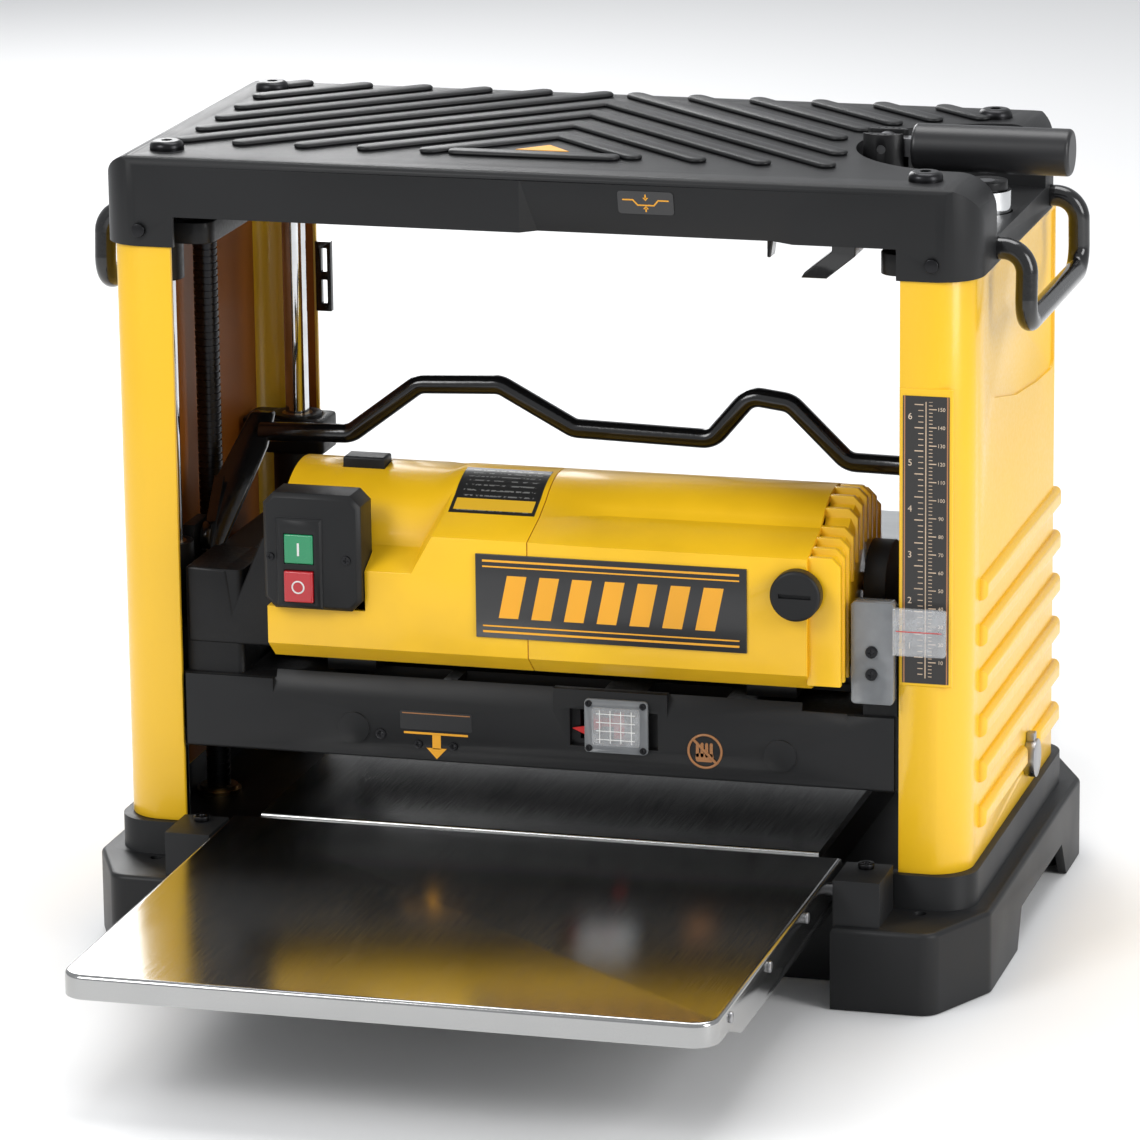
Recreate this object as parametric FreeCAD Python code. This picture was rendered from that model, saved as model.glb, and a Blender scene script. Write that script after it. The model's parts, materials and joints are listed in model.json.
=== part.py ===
import FreeCAD, Part
import math
import os

# Portable thickness planer. Millimetres. X runs across the bed, the work goes in
# along +Y, Z is up. The origin is on the floor under the middle of the bed.

# --- driving dimensions -------------------------------------------------------
BED_HALF = 160.0           # half the bed width
BED_TOP = 73.0             # height of the bed surface
OPENING_HALF = 204.5       # half the clear width between the side covers
SIDE_OUT = 242.0           # outer face of a side cover
DEPTH_HALF = 131.0         # half the depth of the machine body
BASE_RIM = 46.0            # top of the base
COLLAR_TOP = 65.0          # top of the collar that the side covers stand on
COVER_FOOT = 394.0         # lower edge of the top cover at the corners
COVER_SKIRT = 411.0        # lower edge of the top cover across the opening
COVER_TOP = 444.0          # upper face of the top cover
POST_X, POST_Y, POST_R = 206.0, 91.0, 7.0
FRONT_POST_X = 223.0
SCREW_X, SCREW_Y, SCREW_R = 226.0, -10.0, 7.0
HEAD_Z = 133.0             # height of the cutterhead axis at rest
ROLLER_Y, ROLLER_Z, ROLLER_R = 62.0, 121.0, 13.0
CARRIAGE_LOW = 110.0       # underside of the carriage
CHEEK_IN, CHEEK_OUT = 166.0, 178.0
MOTOR_Y, MOTOR_Z = -80.0, 214.0
MOTOR_LEFT, MOTOR_SEAM, MOTOR_RIGHT = -147.0, 2.0, 176.0
TABLE_HALF = 174.5
TABLE_IN, TABLE_OUT = 137.0, 424.0
TABLE_PIVOT_Y, TABLE_PIVOT_Z = 155.0, 60.0
CRANK_RADIUS = 56.0        # from the screw axis to the folding grip
GAP = 0.3                  # clearance between bodies that move past each other
RUN = 0.05                 # radial clearance of a running fit
WALL = 3.0

GEAR_MODULE = 0.9
PINION_TEETH, WHEEL_TEETH = 10, 80
GEAR_SPAN = GEAR_MODULE * (PINION_TEETH + WHEEL_TEETH) / 2.0
FIRST_GEAR_Y = -28.0
FIRST_GEAR_Z = HEAD_Z + math.sqrt(GEAR_SPAN**2 - FIRST_GEAR_Y**2)

V = FreeCAD.Vector
X, Y, Z = V(1, 0, 0), V(0, 1, 0), V(0, 0, 1)


# --- shape helpers ------------------------------------------------------------
def box(x0, x1, y0, y1, z0, z1):
    return Part.makeBox(x1 - x0, y1 - y0, z1 - z0, V(x0, y0, z0))


def rod(radius, start, axis, length):
    return Part.makeCylinder(radius, length, V(*start), axis)


def tube(outer, inner, start, axis, length):
    return rod(outer, start, axis, length).cut(rod(inner, start, axis, length))


def join(shapes):
    """One solid from several that touch or overlap."""
    return shapes[0].multiFuse(shapes[1:]).removeSplitter()


def cut(shape, tools):
    for tool in tools:
        shape = shape.cut(tool)
    return shape


def group(shapes):
    return Part.makeCompound(shapes)


def mirror_x(shape):
    return shape.mirror(V(0, 0, 0), X)


def mirror_y(shape):
    return shape.mirror(V(0, 0, 0), Y)


def both_sides(shapes):
    """The shapes and their mirror images at the left."""
    return shapes + [mirror_x(s) for s in shapes]


def four_corners(shape):
    """The shape and its three mirror images about the middle planes."""
    right = [shape, mirror_y(shape)]
    return right + [mirror_x(s) for s in right]


def prism_x(points, x0, x1):
    """A prism along X from points given as (y, z)."""
    wire = Part.makePolygon([V(x0, y, z) for y, z in points + points[:1]])
    return Part.Face(wire).extrude(V(x1 - x0, 0, 0))


def prism_y(points, y0, y1):
    """A prism along Y from points given as (x, z)."""
    wire = Part.makePolygon([V(x, y0, z) for x, z in points + points[:1]])
    return Part.Face(wire).extrude(V(0, y1 - y0, 0))


def prism_z(points, z0, z1):
    """A prism along Z from points given as (x, y)."""
    wire = Part.makePolygon([V(x, y, z0) for x, y in points + points[:1]])
    return Part.Face(wire).extrude(V(0, 0, z1 - z0))


def round_upright(shape, radius, test):
    """Round the edges parallel to Z whose middle point passes the test."""
    edges = []
    for edge in shape.Edges:
        a, b = edge.Vertexes[0].Point, edge.Vertexes[-1].Point
        upright = abs(a.x - b.x) < 1e-6 and abs(a.y - b.y) < 1e-6 and abs(a.z - b.z) > 1e-6
        if upright and test((a + b) * 0.5):
            edges.append(edge)
    return shape.makeFillet(radius, edges)


def round_level(shape, radius, z):
    """Round every edge that lies at height z."""
    edges = [e for e in shape.Edges if abs(e.BoundBox.ZMin - z) < 1e-3 and abs(e.BoundBox.ZMax - z) < 1e-3]
    return shape.makeFillet(radius, edges)


def bent_rod(points, radius, bend):
    """A round rod along straight runs joined by tangent arcs."""
    points = [V(*p) for p in points]
    edges = []
    last = points[0]
    for before, corner, after in zip(points, points[1:], points[2:]):
        into = (corner - before).normalize()
        out = (after - corner).normalize()
        turn = into.getAngle(out)
        back = bend * math.tan(turn / 2.0)
        start, end = corner - into * back, corner + out * back
        inward = (out - into).normalize()
        middle = corner + inward * (bend / math.cos(turn / 2.0) - bend)
        edges.append(Part.LineSegment(last, start).toShape())
        edges.append(Part.Arc(start, middle, end).toShape())
        last = end
    edges.append(Part.LineSegment(last, points[-1]).toShape())
    path = Part.Wire(edges)
    ring = Part.Wire(Part.makeCircle(radius, points[0], points[1] - points[0]))
    return path.makePipeShell([ring], True, True)


def loop_plate(circles, x0, x1, extra):
    """A plate bounded by a band round circles (y, z, r), each made larger by the extra."""
    plate = prism_x([circle[:2] for circle in circles], x0, x1) if len(circles) > 2 else None
    for (ya, za, ra), (yb, zb, rb) in zip(circles, circles[1:] + circles[:1]):
        ra, rb = ra + extra, rb + extra
        span = math.hypot(yb - ya, zb - za)
        along = math.atan2(zb - za, yb - ya)
        lean = math.acos((ra - rb) / span)
        corners = []
        for angle in (along + lean, along - lean):
            corners.append((ya + ra * math.cos(angle), za + ra * math.sin(angle)))
            corners.append((yb + rb * math.cos(angle), zb + rb * math.sin(angle)))
        web = prism_x([corners[0], corners[1], corners[3], corners[2]], x0, x1)
        piece = web.fuse(rod(ra, (x0, ya, za), X, x1 - x0)).fuse(rod(rb, (x0, yb, zb), X, x1 - x0))
        plate = piece if plate is None else plate.fuse(piece)
    return plate.removeSplitter()


def loop_belt(circles, x0, x1, thickness):
    """A closed band round circles (y, z, r)."""
    return loop_plate(circles, x0, x1, thickness).cut(loop_plate(circles, x0, x1, 0.0))


def gear(teeth, y, z, x0, x1, bore, phase=0.0):
    """A spur gear about an X axis, with straight-flanked teeth thinned for backlash."""
    pitch_r = GEAR_MODULE * teeth / 2.0
    tip_r, root_r = pitch_r + 0.8 * GEAR_MODULE, pitch_r - 1.1 * GEAR_MODULE
    step = 2.0 * math.pi / teeth
    points = []
    for i in range(teeth):
        for radius, offset in ((root_r, -0.30), (tip_r, -0.10), (tip_r, 0.10), (root_r, 0.30)):
            angle = phase + (i + offset) * step
            points.append((y + radius * math.cos(angle), z + radius * math.sin(angle)))
    return prism_x(points, x0, x1).cut(rod(bore, (x0 - 1, y, z), X, x1 - x0 + 2))


def sprocket(teeth, radius, centre, axis, width, bore):
    """A sprocket disc with rounded notches round its edge."""
    disc = rod(radius, centre, axis, width)
    across = X if axis is Z else Y
    for i in range(teeth):
        arm = FreeCAD.Rotation(axis, 360.0 * i / teeth).multVec(across) * (radius + 0.6)
        notch = V(*centre) + arm - axis
        disc = disc.cut(Part.makeCylinder(1.9, width + 2, notch, axis))
    return disc.cut(rod(bore, tuple(V(*centre) - axis), axis, width + 2))


# --- base and frame -----------------------------------------------------------
MOUNT_X, MOUNT_Y, MOUNT_R = 219.0, 142.0, 3.5
FOOT_IN, FOOT_FRONT = 177.0, 178.0
BLOCK_OUT, BLOCK_TOP = 203.0, 71.0
PIN_R = 4.0
BRACKET_LOW, BRACKET_TOP = 368.0, 404.0
POST_TOP = 420.0
POST_PLACES = [(FRONT_POST_X, -POST_Y), (POST_X, POST_Y)]
BOLT_X, BOLT_FRONT_Y, BOLT_REAR_Y = 213.0, -107.0, 80.0
BOLT_PLACES = [(x, y) for x in (-BOLT_X, BOLT_X) for y in (BOLT_FRONT_Y, BOLT_REAR_Y)]


def base_plan(inset):
    """The base's outline as a closed list of (x, y), moved in by the inset."""
    quarter = [
        (256.0 - inset, 130.0 - inset * 0.4),
        (233.0 - inset * 0.6, FOOT_FRONT - inset),
        (FOOT_IN + inset, FOOT_FRONT - inset),
        (FOOT_IN + inset, DEPTH_HALF - inset),
    ]
    rear = quarter + [(-x, y) for x, y in reversed(quarter)]
    return rear + [(-x, -y) for x, y in rear]


def base():
    """The moulded base: a tray open below, with column collars and hinge blocks."""
    body = prism_z(base_plan(0.0), 0.0, BASE_RIM)
    body = round_upright(body, 12.0, lambda p: abs(p.x) > 230)
    body = round_level(body, 3.0, BASE_RIM)
    body = body.cut(prism_z(base_plan(5.0), -1.0, BASE_RIM - 4.0))
    bed_seat = box(-BED_HALF + 2, BED_HALF - 2, -126, 126, BASE_RIM - 1, BED_TOP - 5)
    collar = round_upright(box(201, 246, -135, 135, BASE_RIM - 1, COLLAR_TOP), 20.0, lambda p: p.x > 240)
    well = round_upright(box(196, 239, -126, 126, BASE_RIM, COLLAR_TOP + 1), 14.0, lambda p: p.x > 230)
    collar = collar.cut(well)
    block = box(FOOT_IN + 0.2, BLOCK_OUT, -FOOT_FRONT + 6, -137, BASE_RIM - 1, BLOCK_TOP)
    boss = rod(9.0, (MOUNT_X, MOUNT_Y, 0.0), Z, BASE_RIM - 2)
    body = join([body, bed_seat, collar, mirror_x(collar)] + four_corners(block) + four_corners(boss))
    arch = prism_x([(-56, -1), (-44, 22), (74, 22), (89, -1)], 240, 260)
    mount = rod(MOUNT_R, (MOUNT_X, MOUNT_Y, -1), Z, BASE_RIM + 2)
    journal = rod(11.0, (SCREW_X, SCREW_Y, 30), Z, 30)
    pin = rod(PIN_R, (FOOT_IN - 1, TABLE_PIVOT_Y, TABLE_PIVOT_Z), X, TABLE_HALF + 16 - FOOT_IN + 1)
    holes = four_corners(mount) + four_corners(pin)
    return cut(body, [arch, mirror_x(arch), journal, mirror_x(journal)] + holes)


def rubber_feet():
    """Four pads pressed under the base, level with its lower edge."""
    pad = rod(10.0, (238, 108, 0.0), Z, BASE_RIM - 4)
    return group(four_corners(pad))


def bed_plate():
    """The fixed bed: a ground steel plate with turned-down ends."""
    plate = box(-BED_HALF, BED_HALF, -DEPTH_HALF, DEPTH_HALF, BED_TOP - 5, BED_TOP)
    lip = box(-BED_HALF, BED_HALF, DEPTH_HALF - 3, DEPTH_HALF, BED_TOP - 16, BED_TOP - 2)
    plate = join([plate, lip, mirror_y(lip)])
    ends = [e for e in plate.Edges if abs(abs(e.CenterOfMass.y) - DEPTH_HALF) < 0.1
            and abs(e.CenterOfMass.z - BED_TOP) < 0.1]
    return plate.makeFillet(2.0, ends)


def guide_posts():
    """Four ground posts that carry the cutterhead. The front pair stands wider."""
    post = rod(POST_R, (0, 0, BASE_RIM), Z, POST_TOP - BASE_RIM)
    post = post.makeChamfer(1.0, [e for e in post.Edges if e.Closed and abs(e.CenterOfMass.z - POST_TOP) < 0.1])
    return group(both_sides([post.translated(V(x, y, 0)) for x, y in POST_PLACES]))


def top_brackets():
    """A cast bracket over each pair of posts. It also holds the top of a lead screw."""
    plate = box(POST_X - 18, 232, -112, 106, 392, BRACKET_TOP)
    plate = round_upright(plate, 10.0, lambda p: True)
    rear_boss = rod(16.0, (POST_X, POST_Y, BRACKET_LOW), Z, BRACKET_TOP - BRACKET_LOW)
    front_boss = rod(12.0, (FRONT_POST_X, -POST_Y, BRACKET_LOW), Z, BRACKET_TOP - BRACKET_LOW)
    body = join([plate, rear_boss, front_boss])
    holes = [rod(POST_R + RUN, (x, y, BRACKET_LOW - 1), Z, 40) for x, y in POST_PLACES]
    bore = rod(11.0, (SCREW_X, SCREW_Y, 390), Z, 20)
    taps = [rod(4.0, (BOLT_X, y, BRACKET_TOP - 10), Z, 12) for y in (BOLT_FRONT_Y, BOLT_REAR_Y)]
    body = cut(body, holes + [bore] + taps)
    return group([body, mirror_x(body)])


def screw_bearings():
    """Flanged bushes at the foot and head of each lead screw."""
    def bush(z, length, flange_z):
        sleeve = tube(11.0, 5.0 + RUN, (SCREW_X, SCREW_Y, z), Z, length)
        flange = tube(13.0, 5.0 + RUN, (SCREW_X, SCREW_Y, flange_z), Z, 2)
        return join([sleeve, flange])
    low, high = bush(40.0, 10.0, BASE_RIM), bush(390.0, 14.0, 390.0)
    return group([low, mirror_x(low), high, mirror_x(high)])


# --- top cover ----------------------------------------------------------------
COVER_SIDE = 246.0
COVER_FRONT = 132.0
RECESS_R = 71.0
RECESS_FLOOR = 406.0
LEG_SCREW_X, LEG_SCREW_Z = 222.0, 403.0
HANDLE_Y, HANDLE_Z = 74.0, 402.0
HANDLE_X, HANDLE_LOW = 262.0, 361.0


def shoulder(high, edge, radius):
    """An arc of points that rounds the corner (edge, high), from the side to the top."""
    turn = -1.0 if edge < 0 else 1.0
    return [(edge - turn * radius * (1 - math.cos(t)), high - radius * (1 - math.sin(t)))
            for t in [math.radians(a) for a in range(0, 91, 9)]]


def cover_block(inset, foot, top):
    """The cover as a solid block, moved in by the inset: its plan, side view and front view in common."""
    side, front = COVER_SIDE - inset, COVER_FRONT - inset
    plan = round_upright(box(-side, side, -front, front, foot, top), 24.0 - inset, lambda p: p.y < 0)
    plan = round_upright(plan, 56.0 - inset, lambda p: p.y > 0)
    ends = shoulder(top, side, 20.0 - inset)
    across = ends + [(-x, z) for x, z in reversed(ends)] + [(-side, foot), (side, foot)]
    rear = shoulder(top, front, 30.0 - inset)
    near = shoulder(top, -front, 6.0 - inset * 0.9)
    along = rear + near[::-1] + [(-front, foot), (front, foot)]
    return plan.common(prism_y(across, -200, 200)).common(prism_x(along, -300, 300))


def top_cover():
    """The moulded cover: a hollow shell with a scooped crank recess at the right."""
    outer = cover_block(0.0, COVER_FOOT, COVER_TOP)
    inner = cover_block(WALL, COVER_FOOT - 1, COVER_TOP - WALL)
    opening = box(-OPENING_HALF + 2, OPENING_HALF - 2, -200, 200, COVER_FOOT - 1, COVER_SKIRT)
    slope = [(-140, COVER_TOP - 3), (-COVER_FRONT, COVER_TOP - 3),
             (-124.5, COVER_SKIRT - 1), (-140, COVER_SKIRT - 1)]
    scoop = prism_z([(-14, -140), (4, -124), (132, -124), (160, -140)], COVER_SKIRT - 1, COVER_TOP)
    scoop = scoop.common(prism_x(slope, -50, 200))
    scoop_wall = prism_z([(-18, -131), (2, -121.5), (134, -121.5), (164, -131)], COVER_SKIRT, COVER_TOP - 1)
    recess = rod(RECESS_R, (SCREW_X, SCREW_Y, RECESS_FLOOR + WALL), Z, 60)
    cup = rod(RECESS_R + WALL, (SCREW_X, SCREW_Y, RECESS_FLOOR), Z, COVER_TOP - RECESS_FLOOR - 1)
    cup = cup.common(cover_block(0.5, COVER_FOOT, COVER_TOP - 1))
    body = join([cut(outer, [inner, opening]), cup, scoop_wall.common(outer)])
    body = cut(body, [scoop, recess, rod(15.0, (SCREW_X, SCREW_Y, RECESS_FLOOR - 1), Z, 10)])
    bolts = [rod(4.2, (x, y, COVER_TOP - 60), Z, 70) for x, y in BOLT_PLACES]
    socket = rod(6.2, (COVER_SIDE - 10, HANDLE_Y, HANDLE_Z), X, 20)
    screw = rod(2.2, (LEG_SCREW_X, -COVER_FRONT - 5, LEG_SCREW_Z), Y, 12)
    return cut(body, bolts + four_corners(socket) + four_corners(screw))


def cover_bolts():
    """Four dome-headed bolts through the cover into the cast brackets."""
    head = rod(9.5, (0, 0, COVER_TOP), Z, 5.0)
    head = head.makeFillet(3.5, [e for e in head.Edges
                                 if e.Closed and abs(e.CenterOfMass.z - COVER_TOP - 5) < 0.1])
    hexagon = [(3.4 * math.cos(math.radians(a)), 3.4 * math.sin(math.radians(a))) for a in range(0, 360, 60)]
    head = head.cut(prism_z(hexagon, COVER_TOP + 2, COVER_TOP + 6))
    bolt = join([head, rod(4.0, (0, 0, BRACKET_TOP - 10), Z, COVER_TOP - BRACKET_TOP + 10.5)])
    return group([bolt.translated(V(x, y, 0)) for x, y in BOLT_PLACES])


def case_screws():
    """Small screws: one through each cover leg and two on each hinge block."""
    def screw(x, z):
        head = rod(3.8, (x, -COVER_FRONT - 2, z), Y, 2)
        shank = rod(2.0, (x, -COVER_FRONT - 0.5, z), Y, 6)
        return join([head, shank])

    def cap(x, y):
        head = rod(4.5, (x, y, BLOCK_TOP), Z, 3)
        return head.cut(rod(2.0, (x, y, BLOCK_TOP + 1), Z, 3))
    return group(four_corners(screw(LEG_SCREW_X, LEG_SCREW_Z)) + four_corners(cap(190, 146)))


def carry_handle():
    """A bent steel bail whose two ends sit in sockets in the cover's side."""
    points = [
        (COVER_SIDE - 8, -HANDLE_Y, HANDLE_Z),
        (HANDLE_X, -HANDLE_Y, HANDLE_Z),
        (HANDLE_X, -HANDLE_Y - 3, HANDLE_LOW),
        (HANDLE_X, HANDLE_Y + 3, HANDLE_LOW),
        (HANDLE_X, HANDLE_Y, HANDLE_Z),
        (COVER_SIDE - 8, HANDLE_Y, HANDLE_Z),
    ]
    return bent_rod(points, 6.0, 13.0)


# --- side covers --------------------------------------------------------------
RIB_HEIGHTS = [218.0 - 25.7 * i for i in range(6)]
PAD_LOW, PAD_HIGH = 171.0, 336.0
STOP_Y, STOP_Z = 38.0, 84.0


def rib(y0, y1, z):
    """A rounded bar that stands out of a side cover."""
    bar = box(SIDE_OUT - 1, SIDE_OUT + 4.5, y0, y1, z - 6, z + 6)
    ends = [e for e in bar.Edges if abs(e.CenterOfMass.x - SIDE_OUT - 4.5) < 0.1]
    return bar.makeFillet(4.0, ends)


def side_cover(ribs):
    """A channel-shaped cover: front flange, ribbed side wall and rear flange in one sheet."""
    outer = round_upright(box(180, SIDE_OUT, -DEPTH_HALF, DEPTH_HALF, COLLAR_TOP, COVER_FOOT), 22.0,
                          lambda p: p.x > 230)
    inner = round_upright(box(170, SIDE_OUT - WALL, -DEPTH_HALF + WALL, DEPTH_HALF - WALL,
                              COLLAR_TOP - 1, COVER_FOOT + 1), 19.0, lambda p: p.x > 230)
    pocket = [(-80, 388), (-80, 332), (-74, 322), (-60, 316), (0, 304), (60, 298), (104, 296),
              (108, 300), (108, 388)]
    opening = box(170, OPENING_HALF, -200, 200, 0, 500)
    shell = cut(outer, [inner, opening, prism_x(pocket, SIDE_OUT - 1.6, SIDE_OUT + 1)])
    return join([shell] + ribs)


def right_side_cover():
    """The right cover, with a pad for the scale and the bearing hole of the depth stop."""
    ribs = [rib(-99, 115, z) for z in RIB_HEIGHTS[:-1]]
    ribs += [rib(-99, STOP_Y - 16, RIB_HEIGHTS[-1]), rib(STOP_Y + 16, 115, RIB_HEIGHTS[-1])]
    pad = box(OPENING_HALF, 234, -DEPTH_HALF - 0.8, -DEPTH_HALF + 1, PAD_LOW, PAD_HIGH)
    pad = pad.makeChamfer(0.6, [e for e in pad.Edges if abs(e.CenterOfMass.y + DEPTH_HALF + 0.8) < 0.1])
    return join([side_cover(ribs), pad]).cut(rod(4.0, (SIDE_OUT - 10, STOP_Y, STOP_Z), X, 20))


def left_side_cover():
    """The left cover."""
    return mirror_x(side_cover([rib(-99, 115, z) for z in RIB_HEIGHTS]))


def depth_scale():
    """A thin scale plate on the front of the right cover."""
    return box(206.6, 232.0, -DEPTH_HALF - 1.3, -DEPTH_HALF - 0.8, 173.0, 332.0)


def clips():
    """The wrench holder under the cover, and a slotted strip on the left rear flange."""
    tab = prism_y([(130, 412), (126, 412), (126, 398), (128, 398)], -106, -96)
    strap = [(163, 404), (163, 412), (176, 412), (176, 402), (160, 389), (146, 389), (148, 392)]
    shelf = box(120, 180, -120.9, -90, 411, 414)
    root = box(158, 180, -COVER_FRONT + WALL, -120, 411, 414)
    strip = box(-OPENING_HALF, -195, 127, 131, 303, 345)
    slots = [box(-201, -197.5, 120, 140, z, z + 14) for z in (308, 327)]
    return group([join([tab, prism_y(strap, -112, -92), shelf, root]), cut(strip, slots)])


def depth_stop_turret():
    """A small stepped knob low on the right side that sets repeat thicknesses."""
    hub = rod(11.0, (SIDE_OUT + GAP, STOP_Y, STOP_Z), X, 6)
    wing = box(SIDE_OUT + GAP, SIDE_OUT + 5, STOP_Y - 3, STOP_Y + 3, STOP_Z, STOP_Z + 15)
    return join([hub, wing, rod(3.95, (SIDE_OUT - 3.6, STOP_Y, STOP_Z), X, 6)])


# --- lift: crank, lead screws, chain -------------------------------------------
SPROCKET_R = 16.0
CHAIN_Z = 24.0
ARM_LOW, ARM_TOP = 421.4, 426.0
GRIP_Z = 443.0
KNUCKLE_X = SCREW_X - CRANK_RADIUS


def lead_screw(top):
    """Threaded rod with plain journals and a chain sprocket at the foot."""
    thread = rod(SCREW_R, (SCREW_X, SCREW_Y, 50.4), Z, 338.0)
    grooves = [tube(SCREW_R + 1, SCREW_R - 0.7, (SCREW_X, SCREW_Y, z), Z, 1.2)
               for z in range(56, 384, 4)]
    thread = thread.cut(group(grooves))
    journals = rod(5.0, (SCREW_X, SCREW_Y, 18.0), Z, top - 18.0)
    wheel = sprocket(16, SPROCKET_R, (SCREW_X, SCREW_Y, CHAIN_Z - 1.5), Z, 3.0, 4.5)
    return join([thread, journals, wheel])


def elevation_chain():
    """The roller chain that turns both lead screws together."""
    def band(radius, z0, z1):
        ends = [rod(radius, (s * SCREW_X, SCREW_Y, z0), Z, z1 - z0) for s in (1, -1)]
        run = box(-SCREW_X, SCREW_X, SCREW_Y - radius, SCREW_Y + radius, z0, z1)
        return join([run] + ends)
    inner = SPROCKET_R + GAP
    return band(inner + 5.0, CHAIN_Z - 3.0, CHAIN_Z + 3.0).cut(band(inner, CHAIN_Z - 4.0, CHAIN_Z + 4.0))


def crank_bearing():
    """A plated cup that carries the head of the right lead screw in the recess."""
    cup = rod(14.0, (SCREW_X, SCREW_Y, RECESS_FLOOR - 1.5), Z, 16.5)
    return cup.cut(rod(5.0 + RUN, (SCREW_X, SCREW_Y, 400), Z, 30))


def crank_arm():
    """The flat arm on the right lead screw, ending in a round clevis."""
    bar = box(KNUCKLE_X, SCREW_X, SCREW_Y - 9, SCREW_Y + 9, ARM_LOW, ARM_TOP)
    hub = rod(12.0, (SCREW_X, SCREW_Y, ARM_LOW), Z, ARM_TOP - ARM_LOW)
    knuckle = rod(13.0, (KNUCKLE_X, SCREW_Y, ARM_LOW), Z, 451.0 - ARM_LOW)
    serrations = [
        box(KNUCKLE_X + 10.5 * math.cos(t) - 0.7, KNUCKLE_X + 10.5 * math.cos(t) + 0.7,
            SCREW_Y + 10.5 * math.sin(t) - 0.7, SCREW_Y + 10.5 * math.sin(t) + 0.7, 449.0, 452.0)
        for t in [math.radians(a) for a in range(35, 146, 22)] + [math.radians(a) for a in range(215, 326, 22)]
    ]
    body = join([bar, hub, knuckle])
    slot = box(KNUCKLE_X - 20, KNUCKLE_X + 20, SCREW_Y - 6.3, SCREW_Y + 6.3, ARM_TOP, 460)
    pin_hole = rod(2.5 + RUN, (KNUCKLE_X, SCREW_Y - 20, GRIP_Z), Y, 40)
    seat = rod(5.0 + RUN, (SCREW_X, SCREW_Y, 415), Z, 30)
    return cut(body, [slot, pin_hole, seat] + serrations)


GRIP_IN, GRIP_OUT, GRIP_R = 186.0, 274.0, 13.0


def grip_spindle():
    """The folding spindle: an eye on a cross pin and a long pin for the sleeve."""
    eye = rod(7.0, (KNUCKLE_X, SCREW_Y - 6.0, GRIP_Z), Y, 12.0)
    neck = box(KNUCKLE_X, GRIP_IN - 1, SCREW_Y - 5, SCREW_Y + 5, GRIP_Z - 5, GRIP_Z + 5)
    pin = rod(4.0, (GRIP_IN - 2, SCREW_Y, GRIP_Z), X, GRIP_OUT - GRIP_IN - 6)
    head = rod(6.5, (GRIP_OUT - 9, SCREW_Y, GRIP_Z), X, 2.5)
    cross = rod(2.5, (KNUCKLE_X, SCREW_Y - 12.0, GRIP_Z), Y, 24.0)
    return join([eye, neck, pin, head, cross])


def crank_grip():
    """The sleeve that turns on the spindle, closed at its outer end."""
    body = rod(GRIP_R, (GRIP_IN, SCREW_Y, GRIP_Z), X, GRIP_OUT - GRIP_IN)
    rims = [e for e in body.Edges if e.Closed]
    body = body.makeFillet(2.5, rims)
    bore = rod(4.0 + RUN, (GRIP_IN - 1, SCREW_Y, GRIP_Z), X, GRIP_OUT - GRIP_IN - 7)
    pocket = rod(7.0, (GRIP_OUT - 10, SCREW_Y, GRIP_Z), X, 4.5)
    return cut(body, [bore, pocket])


# --- extension tables -----------------------------------------------------------
def table():
    """The front folding table: bent sheet steel with side flanges and a rolled lip."""
    top = box(-TABLE_HALF, TABLE_HALF, -TABLE_OUT, -TABLE_IN, 50.0, BED_TOP)
    top = round_upright(top, 14.0, lambda p: p.y < -TABLE_OUT + 20)
    top = round_level(top, 2.5, BED_TOP)
    hollow = box(-TABLE_HALF + 1.5, TABLE_HALF - 1.5, -TABLE_OUT + 1.5, -TABLE_IN + 5, 49, BED_TOP - 1.5)
    hollow = round_upright(hollow, 12.5, lambda p: p.y < -TABLE_OUT + 20)
    shell = top.cut(hollow)
    relief = prism_x([(-TABLE_OUT - 5, 49), (-TABLE_OUT - 5, 60), (-TABLE_OUT + 30, 60), (-TABLE_OUT + 60, 49)],
                     -300, 300)
    eye = rod(PIN_R + RUN, (-300, -TABLE_PIVOT_Y, TABLE_PIVOT_Z), X, 600)
    stiffeners = [box(x - 1, x + 1, -TABLE_OUT + 20, -TABLE_IN - 30, 60, BED_TOP - 1) for x in (-85, 0, 85)]
    return join([cut(shell, [relief, eye])] + stiffeners)


def hinge_pins():
    """The four pins that the tables fold on."""
    pin = rod(PIN_R, (TABLE_HALF - 8, TABLE_PIVOT_Y, TABLE_PIVOT_Z), X, 24)
    return group(four_corners(pin))


# --- carriage -------------------------------------------------------------------
TOWER_OUT = 237.0
TOWER_Y = 110.0
BOSS_R, FRONT_BOSS_R = 14.5, 13.0
BUSH_R = 9.0
REAR_BOSS_TOP, FRONT_BOSS_TOP = 250.0, 217.0
NUT_R = 12.0
BEAM_IN, BEAM_OUT = 84.0, 127.7
BEAM_TOP = 152.0
LOCK_Y, LOCK_Z = -60.0, 212.0
SLOT_X0, SLOT_X1 = 42.0, 50.0
PLANE_A = (-186.6, -181.0)
PLANE_B = (-194.6, -188.8)
PLANE_C = (-200.8, -197.0)
IDLER_TEETH = 20
IDLER_Y = FIRST_GEAR_Y + GEAR_MODULE * (PINION_TEETH + IDLER_TEETH) / 2.0
SECOND_GEAR_Y = IDLER_Y + GEAR_MODULE * (WHEEL_TEETH + IDLER_TEETH) / 2.0
GEAR_PIN_R = 3.0


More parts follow.
